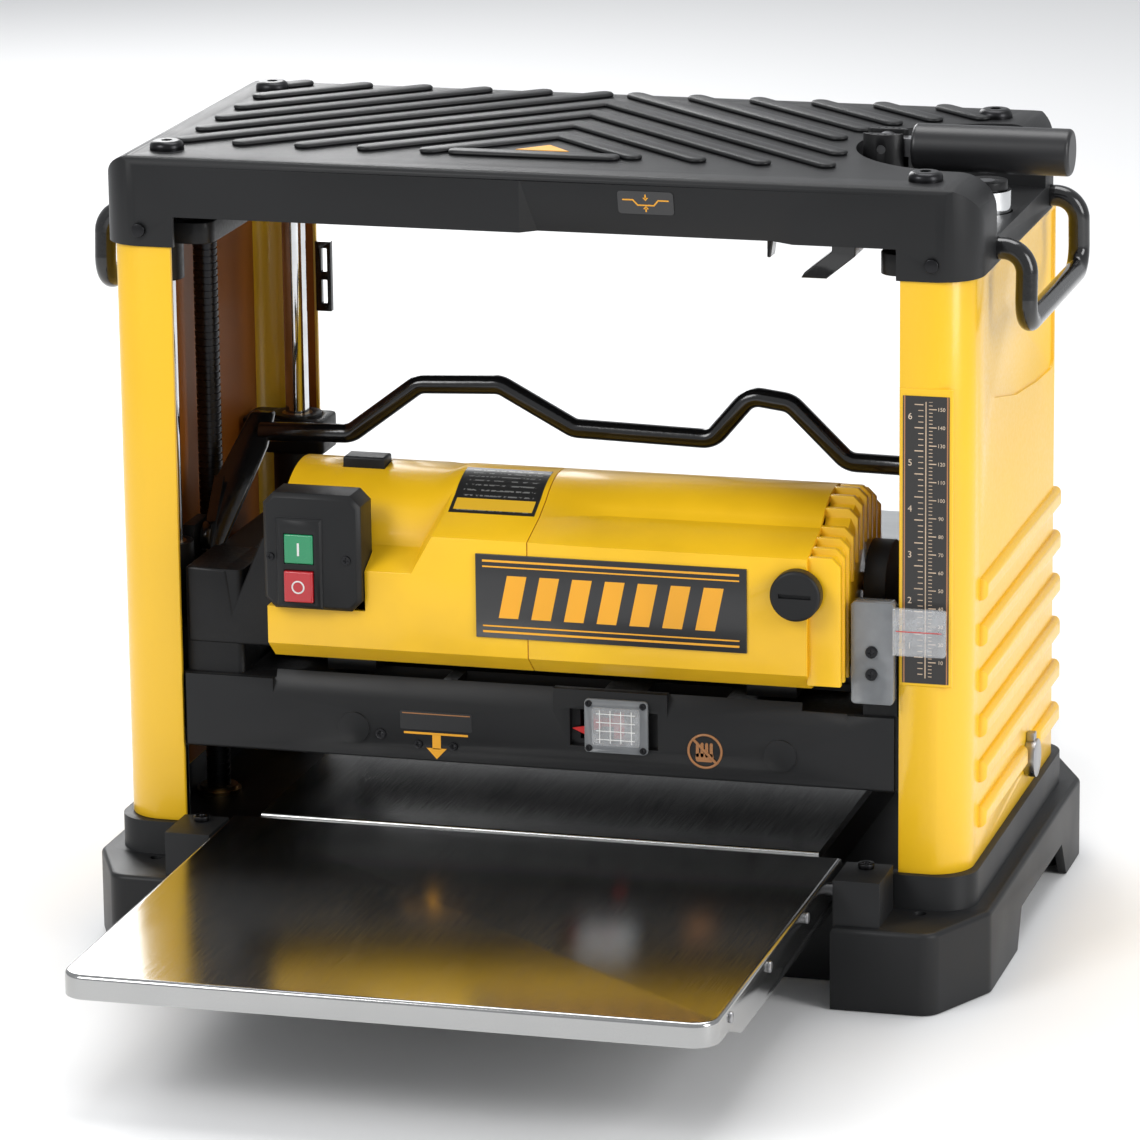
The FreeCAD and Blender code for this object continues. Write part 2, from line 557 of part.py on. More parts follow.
def carriage_casting():
    """The cast carriage: two beams, two cheeks, two towers on the posts and a motor deck."""
    beam = box(-204, 204, -BEAM_OUT, -BEAM_IN, CARRIAGE_LOW, BEAM_TOP)
    cheek = box(CHEEK_IN, CHEEK_OUT, -BEAM_IN - 1, BEAM_IN + 1, CARRIAGE_LOW, BEAM_TOP)
    tower = round_upright(box(203.5, TOWER_OUT, -TOWER_Y, TOWER_Y, 113, 172), 8.0, lambda p: p.x > 220)
    front_boss = rod(FRONT_BOSS_R, (FRONT_POST_X, -POST_Y, 113), Z, FRONT_BOSS_TOP - 113)
    rear_boss = rod(BOSS_R, (POST_X, POST_Y, 113), Z, REAR_BOSS_TOP - 113)
    lug = box(214.5, 221, -75, -49, 170, 222)
    deck = box(-CHEEK_IN - 1, CHEEK_IN + 1, -BEAM_IN - 1, -28, 150, 156)
    pads = [box(x - 14, x + 14, -115, -45, 155, 165.5) for x in (-110, 130)]
    gear_wall = box(-CHEEK_OUT, -CHEEK_IN, -66, 52, 150, 206)
    block = round_upright(box(-203, -170, -124, -74, 150, 211), 4.0, lambda p: p.x > -190)
    pointer_lug = box(184, 203, -BEAM_OUT, -122, 150, 214)
    right = [cheek, tower, front_boss, rear_boss, lug]
    body = join([beam, mirror_y(beam), deck, gear_wall, block, pointer_lug] + pads
                + right + [mirror_x(s) for s in right])
    holes = []
    for side in (1, -1):
        holes.append(rod(NUT_R, (side * SCREW_X, SCREW_Y, 112), Z, 70))
        holes.append(rod(4.0 + RUN, (min(side * 214, side * 222), LOCK_Y, LOCK_Z), X, 8))
        holes.append(rod(16.0, (min(side * 165, side * 179), 0, HEAD_Z), X, 14))
        for y in (ROLLER_Y, -ROLLER_Y):
            holes.append(rod(8.0, (min(side * 165, side * 179), y, ROLLER_Z), X, 14))
        for x, y in POST_PLACES:
            holes.append(rod(BUSH_R, (side * x, y, CARRIAGE_LOW - 1), Z, 160))
        for x0, x1 in ((-104, -58), (-50, 34), (58, 104)):
            holes.append(box(x0, x1, side * 106 - 14, side * 106 + 14, CARRIAGE_LOW + 6, BEAM_TOP + 1))
    holes.append(box(SLOT_X0, SLOT_X1, -124, -112, CARRIAGE_LOW - 1, BEAM_TOP + 1))
    holes.append(box(25, SLOT_X1, -129, -112, 128, 146))
    body = cut(body, holes)
    pins = [
        rod(GEAR_PIN_R, (PLANE_B[0] - 0.6, FIRST_GEAR_Y, FIRST_GEAR_Z), X, 20),
        rod(GEAR_PIN_R, (PLANE_C[0] - 0.6, SECOND_GEAR_Y, FIRST_GEAR_Z), X, 26),
        rod(GEAR_PIN_R, (-204.5, IDLER_Y, FIRST_GEAR_Z), X, 204.5 + PLANE_B[1]),
    ]
    return join([body] + pins)


def guide_bushes():
    """Long bronze bushes that slide on the four posts."""
    front = tube(BUSH_R, POST_R + RUN, (FRONT_POST_X, -POST_Y, 113), Z, FRONT_BOSS_TOP - 113)
    rear = tube(BUSH_R, POST_R + RUN, (POST_X, POST_Y, 113), Z, REAR_BOSS_TOP - 113)
    return group([front, rear, mirror_x(front), mirror_x(rear)])


def lead_nuts():
    """The two nuts that the lead screws lift."""
    nut = tube(NUT_R, SCREW_R + RUN, (SCREW_X, SCREW_Y, 116), Z, 54)
    return group([nut, mirror_x(nut)])


WINDOW = (24.0, 74.0, 120.0, 153.0)


def front_cover():
    """The moulded front strip of the carriage, with a window for the cutting gauge."""
    strip = box(-202, 202, -COVER_FRONT, -BEAM_OUT, CARRIAGE_LOW, BEAM_TOP)
    raised = box(-150, 150, -COVER_FRONT, -BEAM_OUT + 1.5, BEAM_TOP - 1, 157)
    strip = join([strip, raised.cut(box(-151, 151, -BEAM_OUT, -100, BEAM_TOP - 2, BEAM_TOP))])
    edge = [e for e in strip.Edges if abs(e.CenterOfMass.y + COVER_FRONT) < 0.1
            and abs(e.CenterOfMass.z - CARRIAGE_LOW) < 0.1]
    strip = strip.makeFillet(2.0, edge)
    x0, x1, z0, z1 = WINDOW
    hole = box(x0 - 4, x1 - 4, -140, -120, z0 + 5, z1 - 7)
    domes = [rod(9.0, (x, -COVER_FRONT - 1.5, 127), Y, 2) for x in (-104, 139)]
    return join([strip.cut(hole)] + domes)


def gauge_window():
    """The clear lens over the cutting gauge."""
    x0, x1, z0, z1 = WINDOW
    frame = box(x0, x1, -COVER_FRONT - 2.5, -COVER_FRONT, z0, z1)
    return frame.makeFillet(1.0, [e for e in frame.Edges if abs(e.CenterOfMass.y + COVER_FRONT + 2.5) < 0.1])


def gauge_pointer():
    """The sliding foot and its pointer. A board pushes it up by the depth of cut."""
    foot = box(SLOT_X0 + 0.5, SLOT_X1 - 0.5, -122, -114, CARRIAGE_LOW - 1.5, 142)
    arm = box(28, SLOT_X1 - 1, -122, -118, 134, 139)
    tip = prism_y([(29, 132), (36, 134), (36, 139), (29, 141)], -127, -120)
    return join([foot, arm, tip])


def chip_chute():
    """The sheet-metal channel that carries chips from the cutterhead to the rear."""
    upper = [(-26, 158), (66, 178), (BEAM_OUT, 198), (BEAM_OUT, 200.5), (66, 180.5), (-26, 160.5)]
    lower = [(34, 153), (BEAM_OUT, 157), (BEAM_OUT, 159.5), (34, 155.5)]
    side = [(-26, 158), (34, 153), (BEAM_OUT, 157), (BEAM_OUT, 200.5), (66, 180.5), (-26, 160.5)]
    sheets = [prism_x(upper, -160, 160), prism_x(lower, -160, 160)]
    sheets += [prism_x(side, 158, 160), prism_x(side, -160, -158)]
    feet = [box(x - 10, x + 10, 95, 120, BEAM_TOP, 157) for x in (-120, 120)]
    return join(sheets + feet)


# --- motor ----------------------------------------------------------------------
BARREL_R = 53.0
MOTOR_LOW = 165.5
MOTOR_FRONT = -150.0
MOTOR_WALL = 3.5
BRUSH_X, BRUSH_Z = 153.0, 224.0
SWITCH = (-147.0, -91.0, 199.5, 265.0)
SWITCH_FRONT, SWITCH_BACK = -156.0, -134.0
RESET = (-120.0, -96.0, -92.0, -78.0)


def motor_solid(x0, x1, inset):
    """The motor housing's section as a solid: a barrel grown out of a boxy front."""
    front, low = MOTOR_FRONT + inset, MOTOR_LOW + inset
    section = [
        (-30 - inset, low), (-141, low), (front, low + 9), (front, 244 - inset),
        (-117, 252.5 - inset), (MOTOR_Y, 252), (-30 - inset, 214),
    ]
    nose = prism_x(section, x0, x1)
    if inset == 0:
        nose = nose.makeFillet(4.0, [e for e in nose.Edges if abs(e.CenterOfMass.y - front) < 0.1
                                     and e.BoundBox.XLength > 50])
    barrel = rod(BARREL_R - inset, (x0, MOTOR_Y, MOTOR_Z), X, x1 - x0)
    return nose.fuse(barrel.common(box(x0, x1, -200, 0, low, 300))).removeSplitter()


def motor_shell(x0, x1, closed_left):
    """One half of the motor housing, closed at its outer end."""
    if closed_left:
        hollow = motor_solid(x0 + 10, x1 + 1, MOTOR_WALL)
    else:
        hollow = motor_solid(x0 - 1, x1 - 10, MOTOR_WALL)
    return motor_solid(x0, x1, 0.0).cut(hollow)


def motor_housing_left():
    """The left shell, cut for the switch box and the reset button, with the cord inlet."""
    shell = motor_shell(MOTOR_LEFT, MOTOR_SEAM, True)
    x0, x1, z0, z1 = SWITCH
    pocket = box(x0 - 1, x1 + 0.2, -170, SWITCH_BACK, z0 - 0.2, z1 + 20)
    a, b, c, d = RESET
    reset = box(a - GAP, b + GAP, c - GAP, d + GAP, 250, 280)
    bearing = rod(12.0, (MOTOR_LEFT + 3, MOTOR_Y, MOTOR_Z), X, 10)
    shell = join([shell, rod(7.5, (-120, -34, 200), Y, 18)])
    inlet = rod(3.6, (-120, -40, 200), Y, 40)
    return cut(shell, [pocket, reset, bearing, inlet])


def motor_housing_right():
    """The right shell with cooling slots at its end and the brush opening."""
    shell = motor_shell(MOTOR_SEAM, MOTOR_RIGHT, False)
    slots = [box(158, 180, y, y + 4, 240, 280) for y in range(-118, -40, 11)]
    slots += [box(168, 180, -151, -143, z, z + 5) for z in range(186, 240, 10)]
    bearing = rod(12.0, (MOTOR_RIGHT - 13, MOTOR_Y, MOTOR_Z), X, 10)
    shaft = rod(7.0, (MOTOR_RIGHT - 5, MOTOR_Y, MOTOR_Z), X, 10)
    brush = rod(8.0, (BRUSH_X, -160, BRUSH_Z), Y, 30)
    return cut(shell, slots + [bearing, shaft, brush])


def motor_stator():
    """The laminated field core with its two windings."""
    core = tube(43.0, 27.0, (-90, MOTOR_Y, MOTOR_Z), X, 120)
    windings = [tube(40.0, 29.0, (x, MOTOR_Y, MOTOR_Z), X, 16) for x in (-106, 30)]
    return join([core] + windings)


def motor_armature():
    """Shaft, wound core, commutator and the small belt pulley."""
    shaft = rod(5.0, (MOTOR_LEFT + 4, MOTOR_Y, MOTOR_Z), X, 332)
    core = rod(25.5, (-88, MOTOR_Y, MOTOR_Z), X, 116)
    slot = box(-90, 30, MOTOR_Y - 1, MOTOR_Y + 1, MOTOR_Z + 23.5, MOTOR_Z + 27)
    slots = [slot.copy().rotate(V(0, MOTOR_Y, MOTOR_Z), X, 30.0 * i) for i in range(12)]
    commutator = rod(15.0, (141, MOTOR_Y, MOTOR_Z), X, 22)
    return join([shaft, cut(core, slots), commutator, pulley(MOTOR_PULLEY_R, MOTOR_Y, MOTOR_Z)])


def motor_fan():
    """The cooling fan: a back plate with twelve radial blades."""
    plate = rod(40.0, (96, MOTOR_Y, MOTOR_Z), X, 2)
    hub = rod(12.0, (96, MOTOR_Y, MOTOR_Z), X, 18)
    blade = box(97, 114, MOTOR_Y - 1, MOTOR_Y + 1, MOTOR_Z + 10, MOTOR_Z + 39)
    blades = [blade.copy().rotate(V(0, MOTOR_Y, MOTOR_Z), X, 30.0 * i) for i in range(12)]
    return join([plate, hub] + blades).cut(rod(5.0, (90, MOTOR_Y, MOTOR_Z), X, 30))


PULLEY_X0, PULLEY_X1 = 180.5, 188.5
MOTOR_PULLEY_R, HEAD_PULLEY_R = 12.0, 17.0


def pulley(radius, y, z):
    """A flanged flat-belt pulley."""
    wheel = rod(radius, (PULLEY_X0, y, z), X, PULLEY_X1 - PULLEY_X0)
    flange = rod(radius + 1.5, (PULLEY_X0 - 0.8, y, z), X, 0.8)
    return join([wheel, flange])


def drive_belt():
    """The belt from the motor to the cutterhead."""
    circles = [(MOTOR_Y, MOTOR_Z, MOTOR_PULLEY_R + GAP), (0.0, HEAD_Z, HEAD_PULLEY_R + GAP)]
    return loop_belt(circles, PULLEY_X0 + 0.5, PULLEY_X1 - 0.5, 2.5)


def belt_cover():
    """The cap over the belt and its pulleys."""
    circles = [(MOTOR_Y, MOTOR_Z, 22.0), (0.0, HEAD_Z, 21.0)]
    wall = loop_belt(circles, CHEEK_OUT + 0.5, 191.0, 2.0)
    return join([wall, loop_plate(circles, 189.2, 191.0, 2.0)])


def brush_caps():
    """The screw-in cap at the front of the motor with its carbon brush."""
    cap = rod(14.0, (BRUSH_X, -158, BRUSH_Z), Y, 8)
    cap = cap.makeFillet(2.0, [e for e in cap.Edges if e.Closed and abs(e.CenterOfMass.y + 158) < 0.1])
    cap = cap.cut(box(BRUSH_X - 9, BRUSH_X + 9, -159, -155.5, BRUSH_Z - 1.2, BRUSH_Z + 1.2))
    stem = rod(7.8, (BRUSH_X, -151, BRUSH_Z), Y, 20)
    brush = box(BRUSH_X - 3, BRUSH_X + 3, -132, MOTOR_Y - 15.6, MOTOR_Z - 3, MOTOR_Z + 3)
    link = box(BRUSH_X - 3, BRUSH_X + 3, -134, -130, MOTOR_Z - 3, BRUSH_Z + 3)
    return join([cap, stem, brush, link])


BUTTON_X0, BUTTON_X1 = -134.0, -117.5
START_Z0, START_Z1 = 226.0, 242.5
STOP_Z0, STOP_Z1 = 204.5, 222.0


def switch_box():
    """The switch enclosure, with two square holes for its buttons."""
    x0, x1, z0, z1 = SWITCH
    case = box(x0, x1, SWITCH_FRONT, SWITCH_BACK, z0, z1)
    case = case.makeChamfer(6.0, [e for e in case.Edges if e.BoundBox.YLength > 20])
    case = case.makeChamfer(2.5, [e for e in case.Edges if abs(e.CenterOfMass.y - SWITCH_FRONT) < 0.1])
    rim = box(BUTTON_X0 - 5, BUTTON_X1 + 5, SWITCH_FRONT - 1.8, SWITCH_FRONT + 1, STOP_Z0 - 4, START_Z1 + 9)
    rim = rim.makeChamfer(1.2, [e for e in rim.Edges if abs(e.CenterOfMass.y - SWITCH_FRONT + 1.8) < 0.1])
    case = join([case, rim])
    start = box(BUTTON_X0 - GAP, BUTTON_X1 + GAP, -165, -142, START_Z0 - GAP, START_Z1 + GAP)
    stop = box(BUTTON_X0 - GAP, BUTTON_X1 + GAP, -165, -142, STOP_Z0 - GAP, STOP_Z1 + GAP)
    return cut(case, [start, stop])


def button(z0, z1, proud):
    """A square push button with soft edges."""
    body = box(BUTTON_X0, BUTTON_X1, SWITCH_FRONT - proud, -146, z0, z1)
    return body.makeFillet(1.2, [e for e in body.Edges if abs(e.CenterOfMass.y - SWITCH_FRONT + proud) < 0.1])


def reset_button():
    """The overload reset on top of the motor housing."""
    a, b, c, d = RESET
    body = box(a, b, c, d, 258, 271.5)
    return round_level(body, 1.5, 271.5)


BADGE = (-27.0, 125.0, 189.0, 236.0)


def badge_plate():
    """A plain plate fixed to the front of the motor housing."""
    x0, x1, z0, z1 = BADGE
    return box(x0, x1, -151.2, -150.0, z0, z1)


# --- cutterhead, rollers and reduction gears ------------------------------------
KNIFE_ANGLE = 35.0


def around_head(shape, angle):
    return shape.copy().rotate(V(0, 0, HEAD_Z), X, angle)


def cutterhead():
    """A steel cylinder with two knife pockets, journals and the feed pinion."""
    drum = rod(21.0, (-158.5, 0, HEAD_Z), X, 317)
    journal = rod(8.0, (-180.0, 0, HEAD_Z), X, 359.5)
    stub = rod(5.0, (170, 0, HEAD_Z), X, 15)
    pocket = box(-160, 160, -1.55, 9.0, HEAD_Z + 9, HEAD_Z + 30)
    pockets = [around_head(pocket, KNIFE_ANGLE + turn) for turn in (0, 180)]
    direction = math.atan2(FIRST_GEAR_Z - HEAD_Z, FIRST_GEAR_Y)
    pinion = gear(PINION_TEETH, 0.0, HEAD_Z, PLANE_A[0], PLANE_A[1] + 1.2, 1.0, direction)
    pinion = pinion.fuse(rod(1.2, (PLANE_A[0], 0, HEAD_Z), X, 6))
    return join([cut(drum, pockets), journal, stub, pinion, pulley(HEAD_PULLEY_R, 0.0, HEAD_Z)])


def knives():
    """Two double-edged knives."""
    edge = [(-1.5, 10), (1.5, 10), (1.5, 21.5), (-1.5, 23.9)]
    blade = prism_x([(y, HEAD_Z + z) for y, z in edge], -158.5, 158.5)
    return group([around_head(blade, KNIFE_ANGLE + turn) for turn in (0, 180)])


def knife_clamps():
    """The clamp bars with their row of screws."""
    bar = box(-158.5, 158.5, 1.5, 8.9, HEAD_Z + 10, HEAD_Z + 18.2)
    screws = [rod(2.6, (x, 5.2, HEAD_Z + 16.5), Z, 2.5) for x in range(-140, 141, 40)]
    clamp = join([bar] + screws)
    return group([around_head(clamp, KNIFE_ANGLE + turn) for turn in (0, 180)])


def bearings():
    """The bearings of the cutterhead, the feed rollers and the motor shaft."""
    head = tube(16.0, 8.0 + RUN, (CHEEK_IN, 0, HEAD_Z), X, 12)
    rollers = [tube(8.0, 5.0 + RUN, (CHEEK_IN, y, ROLLER_Z), X, 12) for y in (ROLLER_Y, -ROLLER_Y)]
    right = [head] + rollers
    motor = [tube(12.0, 5.0 + RUN, (x, MOTOR_Y, MOTOR_Z), X, 8) for x in (MOTOR_LEFT + 3, MOTOR_RIGHT - 11)]
    return group(right + [mirror_x(s) for s in right] + motor)


ROLLER_SPROCKET_R, DRIVE_SPROCKET_R = 8.0, 5.0


def feed_roller(y):
    """A feed roller with its shaft and chain sprocket."""
    body = rod(ROLLER_R, (-159, y, ROLLER_Z), X, 318)
    shaft = rod(5.0, (PLANE_C[0], y, ROLLER_Z), X, 177.5 - PLANE_C[0])
    wheel = rod(ROLLER_SPROCKET_R, (PLANE_C[0], y, ROLLER_Z), X, 3.2)
    return join([body, shaft, wheel])


def first_reduction_gear():
    """A wheel driven by the cutterhead, with a pinion for the next stage."""
    direction = math.atan2(FIRST_GEAR_Z - HEAD_Z, FIRST_GEAR_Y)
    wheel = gear(WHEEL_TEETH, FIRST_GEAR_Y, FIRST_GEAR_Z, *PLANE_A, GEAR_PIN_R + RUN,
                 direction + math.pi + math.pi / WHEEL_TEETH)
    pinion = gear(PINION_TEETH, FIRST_GEAR_Y, FIRST_GEAR_Z, PLANE_B[0], PLANE_A[0], GEAR_PIN_R + RUN, 0.0)
    return join([wheel, pinion])


def idler_gear():
    """The idler that gives the rollers their direction."""
    phase = math.pi + math.pi / IDLER_TEETH
    return gear(IDLER_TEETH, IDLER_Y, FIRST_GEAR_Z, *PLANE_B, GEAR_PIN_R + RUN, phase)


def second_reduction_gear():
    """The slow wheel with the sprocket that drives the roller chain."""
    wheel = gear(WHEEL_TEETH, SECOND_GEAR_Y, FIRST_GEAR_Z, *PLANE_B, GEAR_PIN_R + RUN, math.pi)
    hub = tube(DRIVE_SPROCKET_R, GEAR_PIN_R + RUN, (PLANE_C[0], SECOND_GEAR_Y, FIRST_GEAR_Z), X,
               PLANE_B[0] - PLANE_C[0])
    return join([wheel, hub])


def feed_chain():
    """The chain from the slow gear round both feed rollers."""
    circles = [
        (-ROLLER_Y, ROLLER_Z, ROLLER_SPROCKET_R + GAP),
        (SECOND_GEAR_Y, FIRST_GEAR_Z, DRIVE_SPROCKET_R + GAP),
        (ROLLER_Y, ROLLER_Z, ROLLER_SPROCKET_R + GAP),
    ]
    return loop_belt(circles, PLANE_C[0], PLANE_C[0] + 3.0, 2.0)


def gearbox_cover():
    """The lid over the reduction gears, open towards the carriage's gear wall."""
    outer = box(-203.2, -178.2, -73.5, 73.5, BEAM_TOP + 0.2, 210)
    outer = round_level(round_upright(outer, 4.0, lambda p: p.x < -190), 3.0, 210)
    inner = box(-201.6, -178, -71, 71, BEAM_TOP - 1, 207)
    return cut(outer, [inner, rod(GEAR_PIN_R + 0.1, (-206, IDLER_Y, FIRST_GEAR_Z), X, 6)])


# --- thickness pointer and lock bar ---------------------------------------------
def pointer_bracket():
    """The bracket that carries the reading lens."""
    body = box(179.5, 203, -138, -128, 161, 218)
    body = body.makeFillet(2.5, [e for e in body.Edges if e.BoundBox.YLength > 5])
    return body.cut(box(183, 203.5, -130, -127, 150, 215))


def pointer_lens():
    """The clear lens that reads the scale on the column."""
    plate = box(203, 232, -141, -137, 190, 216)
    return plate.makeFillet(1.5, [e for e in plate.Edges if e.BoundBox.YLength > 3 and e.CenterOfMass.x > 220])


def lock_bar():
    """The bent bar across the carriage, with an arm and pivot pin at each end."""
    y = -14.0
    heights = [(-210, 263), (-140, 265), (-99, 296), (-51, 298), (-8, 275), (72, 273), (94, 299), (117, 296),
               (150, 264), (210, 263)]
    bar = bent_rod([(x, y, z) for x, z in heights], 5.5, 12.0)
    profile = [(LOCK_Y - 8, LOCK_Z - 6), (LOCK_Y + 6, LOCK_Z - 8), (y + 7, 258), (y + 6, 270), (y - 7, 268)]
    arm = prism_x(profile, 207.5, 213.5)
    eye = rod(9.0, (207.5, LOCK_Y, LOCK_Z), X, 6.0)
    pin = rod(4.0, (208, LOCK_Y, LOCK_Z), X, 13)
    side = [arm, eye, pin]
    return join([bar] + side + [mirror_x(s) for s in side])


# --- all parts -------------------------------------------------------------------
def build():
    """Every piece by its node name."""
    handle, front = carry_handle(), table()
    return {
        "base": base(),
        "rubber_feet": rubber_feet(),
        "bed_plate": bed_plate(),
        "guide_posts": guide_posts(),
        "top_brackets": top_brackets(),
        "screw_bearings": screw_bearings(),
        "top_cover": top_cover(),
        "cover_bolts": cover_bolts(),
        "case_screws": case_screws(),
        "right_carry_handle": handle,
        "left_carry_handle": mirror_x(handle),
        "right_side_cover": right_side_cover(),
        "left_side_cover": left_side_cover(),
        "depth_scale": depth_scale(),
        "clips": clips(),
        "depth_stop_turret": depth_stop_turret(),
        "right_lead_screw": lead_screw(ARM_TOP),
        "left_lead_screw": mirror_x(lead_screw(402.0)),
        "elevation_chain": elevation_chain(),
        "crank_bearing": crank_bearing(),
        "crank_arm": crank_arm(),
        "grip_spindle": grip_spindle(),
        "crank_grip": crank_grip(),
        "front_table": front,
        "rear_table": mirror_y(front),
        "hinge_pins": hinge_pins(),
        "carriage_casting": carriage_casting(),
        "guide_bushes": guide_bushes(),
        "lead_nuts": lead_nuts(),
        "front_cover": front_cover(),
        "gauge_window": gauge_window(),
        "gauge_pointer": gauge_pointer(),
        "chip_chute": chip_chute(),
        "motor_housing_left": motor_housing_left(),
        "motor_housing_right": motor_housing_right(),
        "motor_stator": motor_stator(),
        "motor_armature": motor_armature(),
        "motor_fan": motor_fan(),
        "brush_caps": brush_caps(),
        "drive_belt": drive_belt(),
        "belt_cover": belt_cover(),
        "switch_box": switch_box(),
        "start_button": button(START_Z0, START_Z1, 2.5),
        "stop_button": button(STOP_Z0, STOP_Z1, 4.0),
        "reset_button": reset_button(),
        "badge_plate": badge_plate(),
        "cutterhead": cutterhead(),
        "knives": knives(),
        "knife_clamps": knife_clamps(),
        "bearings": bearings(),
        "infeed_roller": feed_roller(-ROLLER_Y),
        "outfeed_roller": feed_roller(ROLLER_Y),
        "first_reduction_gear": first_reduction_gear(),
        "idler_gear": idler_gear(),
        "second_reduction_gear": second_reduction_gear(),
        "feed_chain": feed_chain(),
        "gearbox_cover": gearbox_cover(),
        "pointer_bracket": pointer_bracket(),
        "pointer_lens": pointer_lens(),
        "lock_bar": lock_bar(),
    }


os.makedirs("parts", exist_ok=True)
for name, shape in build().items():
    shape.exportStep("parts/" + name + ".step")
    print(f"{name:24s} solids {len(shape.Solids):2d}  valid {shape.isValid()}  {shape.Volume / 1000:9.1f} cm3")
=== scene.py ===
import json
import math

import bpy
from mathutils import Matrix, Vector


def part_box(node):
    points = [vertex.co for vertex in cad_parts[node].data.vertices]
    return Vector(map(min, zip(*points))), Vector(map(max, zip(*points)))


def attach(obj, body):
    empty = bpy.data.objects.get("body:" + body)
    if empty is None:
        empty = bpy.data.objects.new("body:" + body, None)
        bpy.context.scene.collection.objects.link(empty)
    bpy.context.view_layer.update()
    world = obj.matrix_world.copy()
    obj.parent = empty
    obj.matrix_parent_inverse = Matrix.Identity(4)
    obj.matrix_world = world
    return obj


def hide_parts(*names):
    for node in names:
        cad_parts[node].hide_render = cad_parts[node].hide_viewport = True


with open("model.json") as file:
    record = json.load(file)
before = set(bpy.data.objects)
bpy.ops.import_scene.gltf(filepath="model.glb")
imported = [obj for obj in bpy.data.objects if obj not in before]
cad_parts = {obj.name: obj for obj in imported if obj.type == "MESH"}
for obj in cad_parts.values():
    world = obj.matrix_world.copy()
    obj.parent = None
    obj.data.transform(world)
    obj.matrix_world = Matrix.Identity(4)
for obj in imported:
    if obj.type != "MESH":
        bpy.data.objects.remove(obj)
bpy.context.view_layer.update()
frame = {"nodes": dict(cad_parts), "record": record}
nodes = frame["nodes"]
nodeSlot = {s["node"]: s["material_slot"] for s in frame["record"]["subparts"]}
bodyOfNode = {n: b for b, names in frame["record"]["behaviour"]["bodies"].items() for n in names}


def mm(*values):
    scaled = [v / 1000.0 for v in values]
    return scaled[0] if len(scaled) == 1 else Vector(scaled)


# view and light
view = {
    "azimuth": 15.523, "elevation": 14.811, "roll": -0.661, "distance": 3.4485,
    "target": mm(-15.41, 0, 188.42), "lens": 191.45, "sensor": 36.0,
}
az, el, roll = (math.radians(view[k]) for k in ("azimuth", "elevation", "roll"))
back = Vector((math.sin(az) * math.cos(el), -math.cos(az) * math.cos(el), math.sin(el)))
camera = bpy.data.objects.new("camera", bpy.data.cameras.new("camera"))
bpy.context.scene.collection.objects.link(camera)
camera.data.lens = view["lens"]
camera.data.sensor_width = view["sensor"]
camera.data.clip_end = 50.0
camera.location = view["target"] + back * view["distance"]
turn = back.to_track_quat("Z", "Y").to_matrix().to_4x4()
camera.rotation_euler = (turn @ turn.Rotation(roll, 4, "Z")).to_euler()
bpy.context.scene.camera = camera

studio = {
    "sky": (0.95, 0.97, 1.0), "skyPower": 0.56,
    "lamps": [
        # name, place, aim, width, height, watts
        ("keyPanel", (-1.5, -2.2, 2.1), (0, 0, 0.2), 1.3, 1.3, 40),
        ("rightPanel", (2.3, -1.0, 1.2), (0.1, 0, 0.2), 0.9, 1.6, 30),
        ("topPanel", (0.1, 0.5, 2.4), (0, 0, 0.3), 1.8, 1.2, 34),
        ("rearPanel", (-1.4, 2.3, 1.4), (0, 0, 0.2), 1.2, 1.2, 26),
    ],
}
world = bpy.data.worlds.new("studio")
world.use_nodes = True
world.node_tree.nodes["Background"].inputs["Color"].default_value = (*studio["sky"], 1)
world.node_tree.nodes["Background"].inputs["Strength"].default_value = studio["skyPower"]
bpy.context.scene.world = world
bpy.context.scene.view_settings.view_transform = "Standard"
for name, place, aim, width, height, watts in studio["lamps"]:
    lamp = bpy.data.lights.new(name, "AREA")
    lamp.shape = "RECTANGLE"
    lamp.size, lamp.size_y, lamp.energy = width, height, watts
    lampObject = bpy.data.objects.new(name, lamp)
    bpy.context.scene.collection.objects.link(lampObject)
    lampObject.location = place
    lampObject.rotation_euler = (Vector(place) - Vector(aim)).to_track_quat("Z", "Y").to_euler()
print("view and light placed")


class Wire:
    # one output socket; arithmetic on it adds Math nodes
    def __init__(self, paint, socket):
        self.paint = paint
        self.socket = socket

    def maths(self, operation, *others, clamp=False):
        return self.paint.add("ShaderNodeMath", {"operation": operation, "use_clamp": clamp},
                              dict(enumerate((self, *others))), "Value")

    def __add__(self, other):
        return self.maths("ADD", other)

    __radd__ = __add__

    def __sub__(self, other):
        return self.maths("SUBTRACT", other)

    def __rsub__(self, other):
        return self.paint.number("SUBTRACT", other, self)

    def __mul__(self, other):
        return self.maths("MULTIPLY", other)

    __rmul__ = __mul__

    def __truediv__(self, other):
        return self.maths("DIVIDE", other)

    def __lt__(self, other):
        return self.maths("LESS_THAN", other)

    def __gt__(self, other):
        return self.maths("GREATER_THAN", other)

    def absolute(self):
        return self.maths("ABSOLUTE")

    def within(self, low, high):
        return (self > low) * (self < high)

    def repeat(self, step):
        # distance from the nearest multiple of the step
        return (self / step + 0.5).maths("FRACT").maths("SUBTRACT", 0.5).absolute() * step

    def clamped(self):
        return self.maths("ADD", 0.0, clamp=True)

    def spread(self, low, high, toLow=0.0, toHigh=1.0):
        return self.paint.add("ShaderNodeMapRange", {"interpolation_type": "SMOOTHSTEP"},
                              {0: self, 1: low, 2: high, 3: toLow, 4: toHigh}, 0)


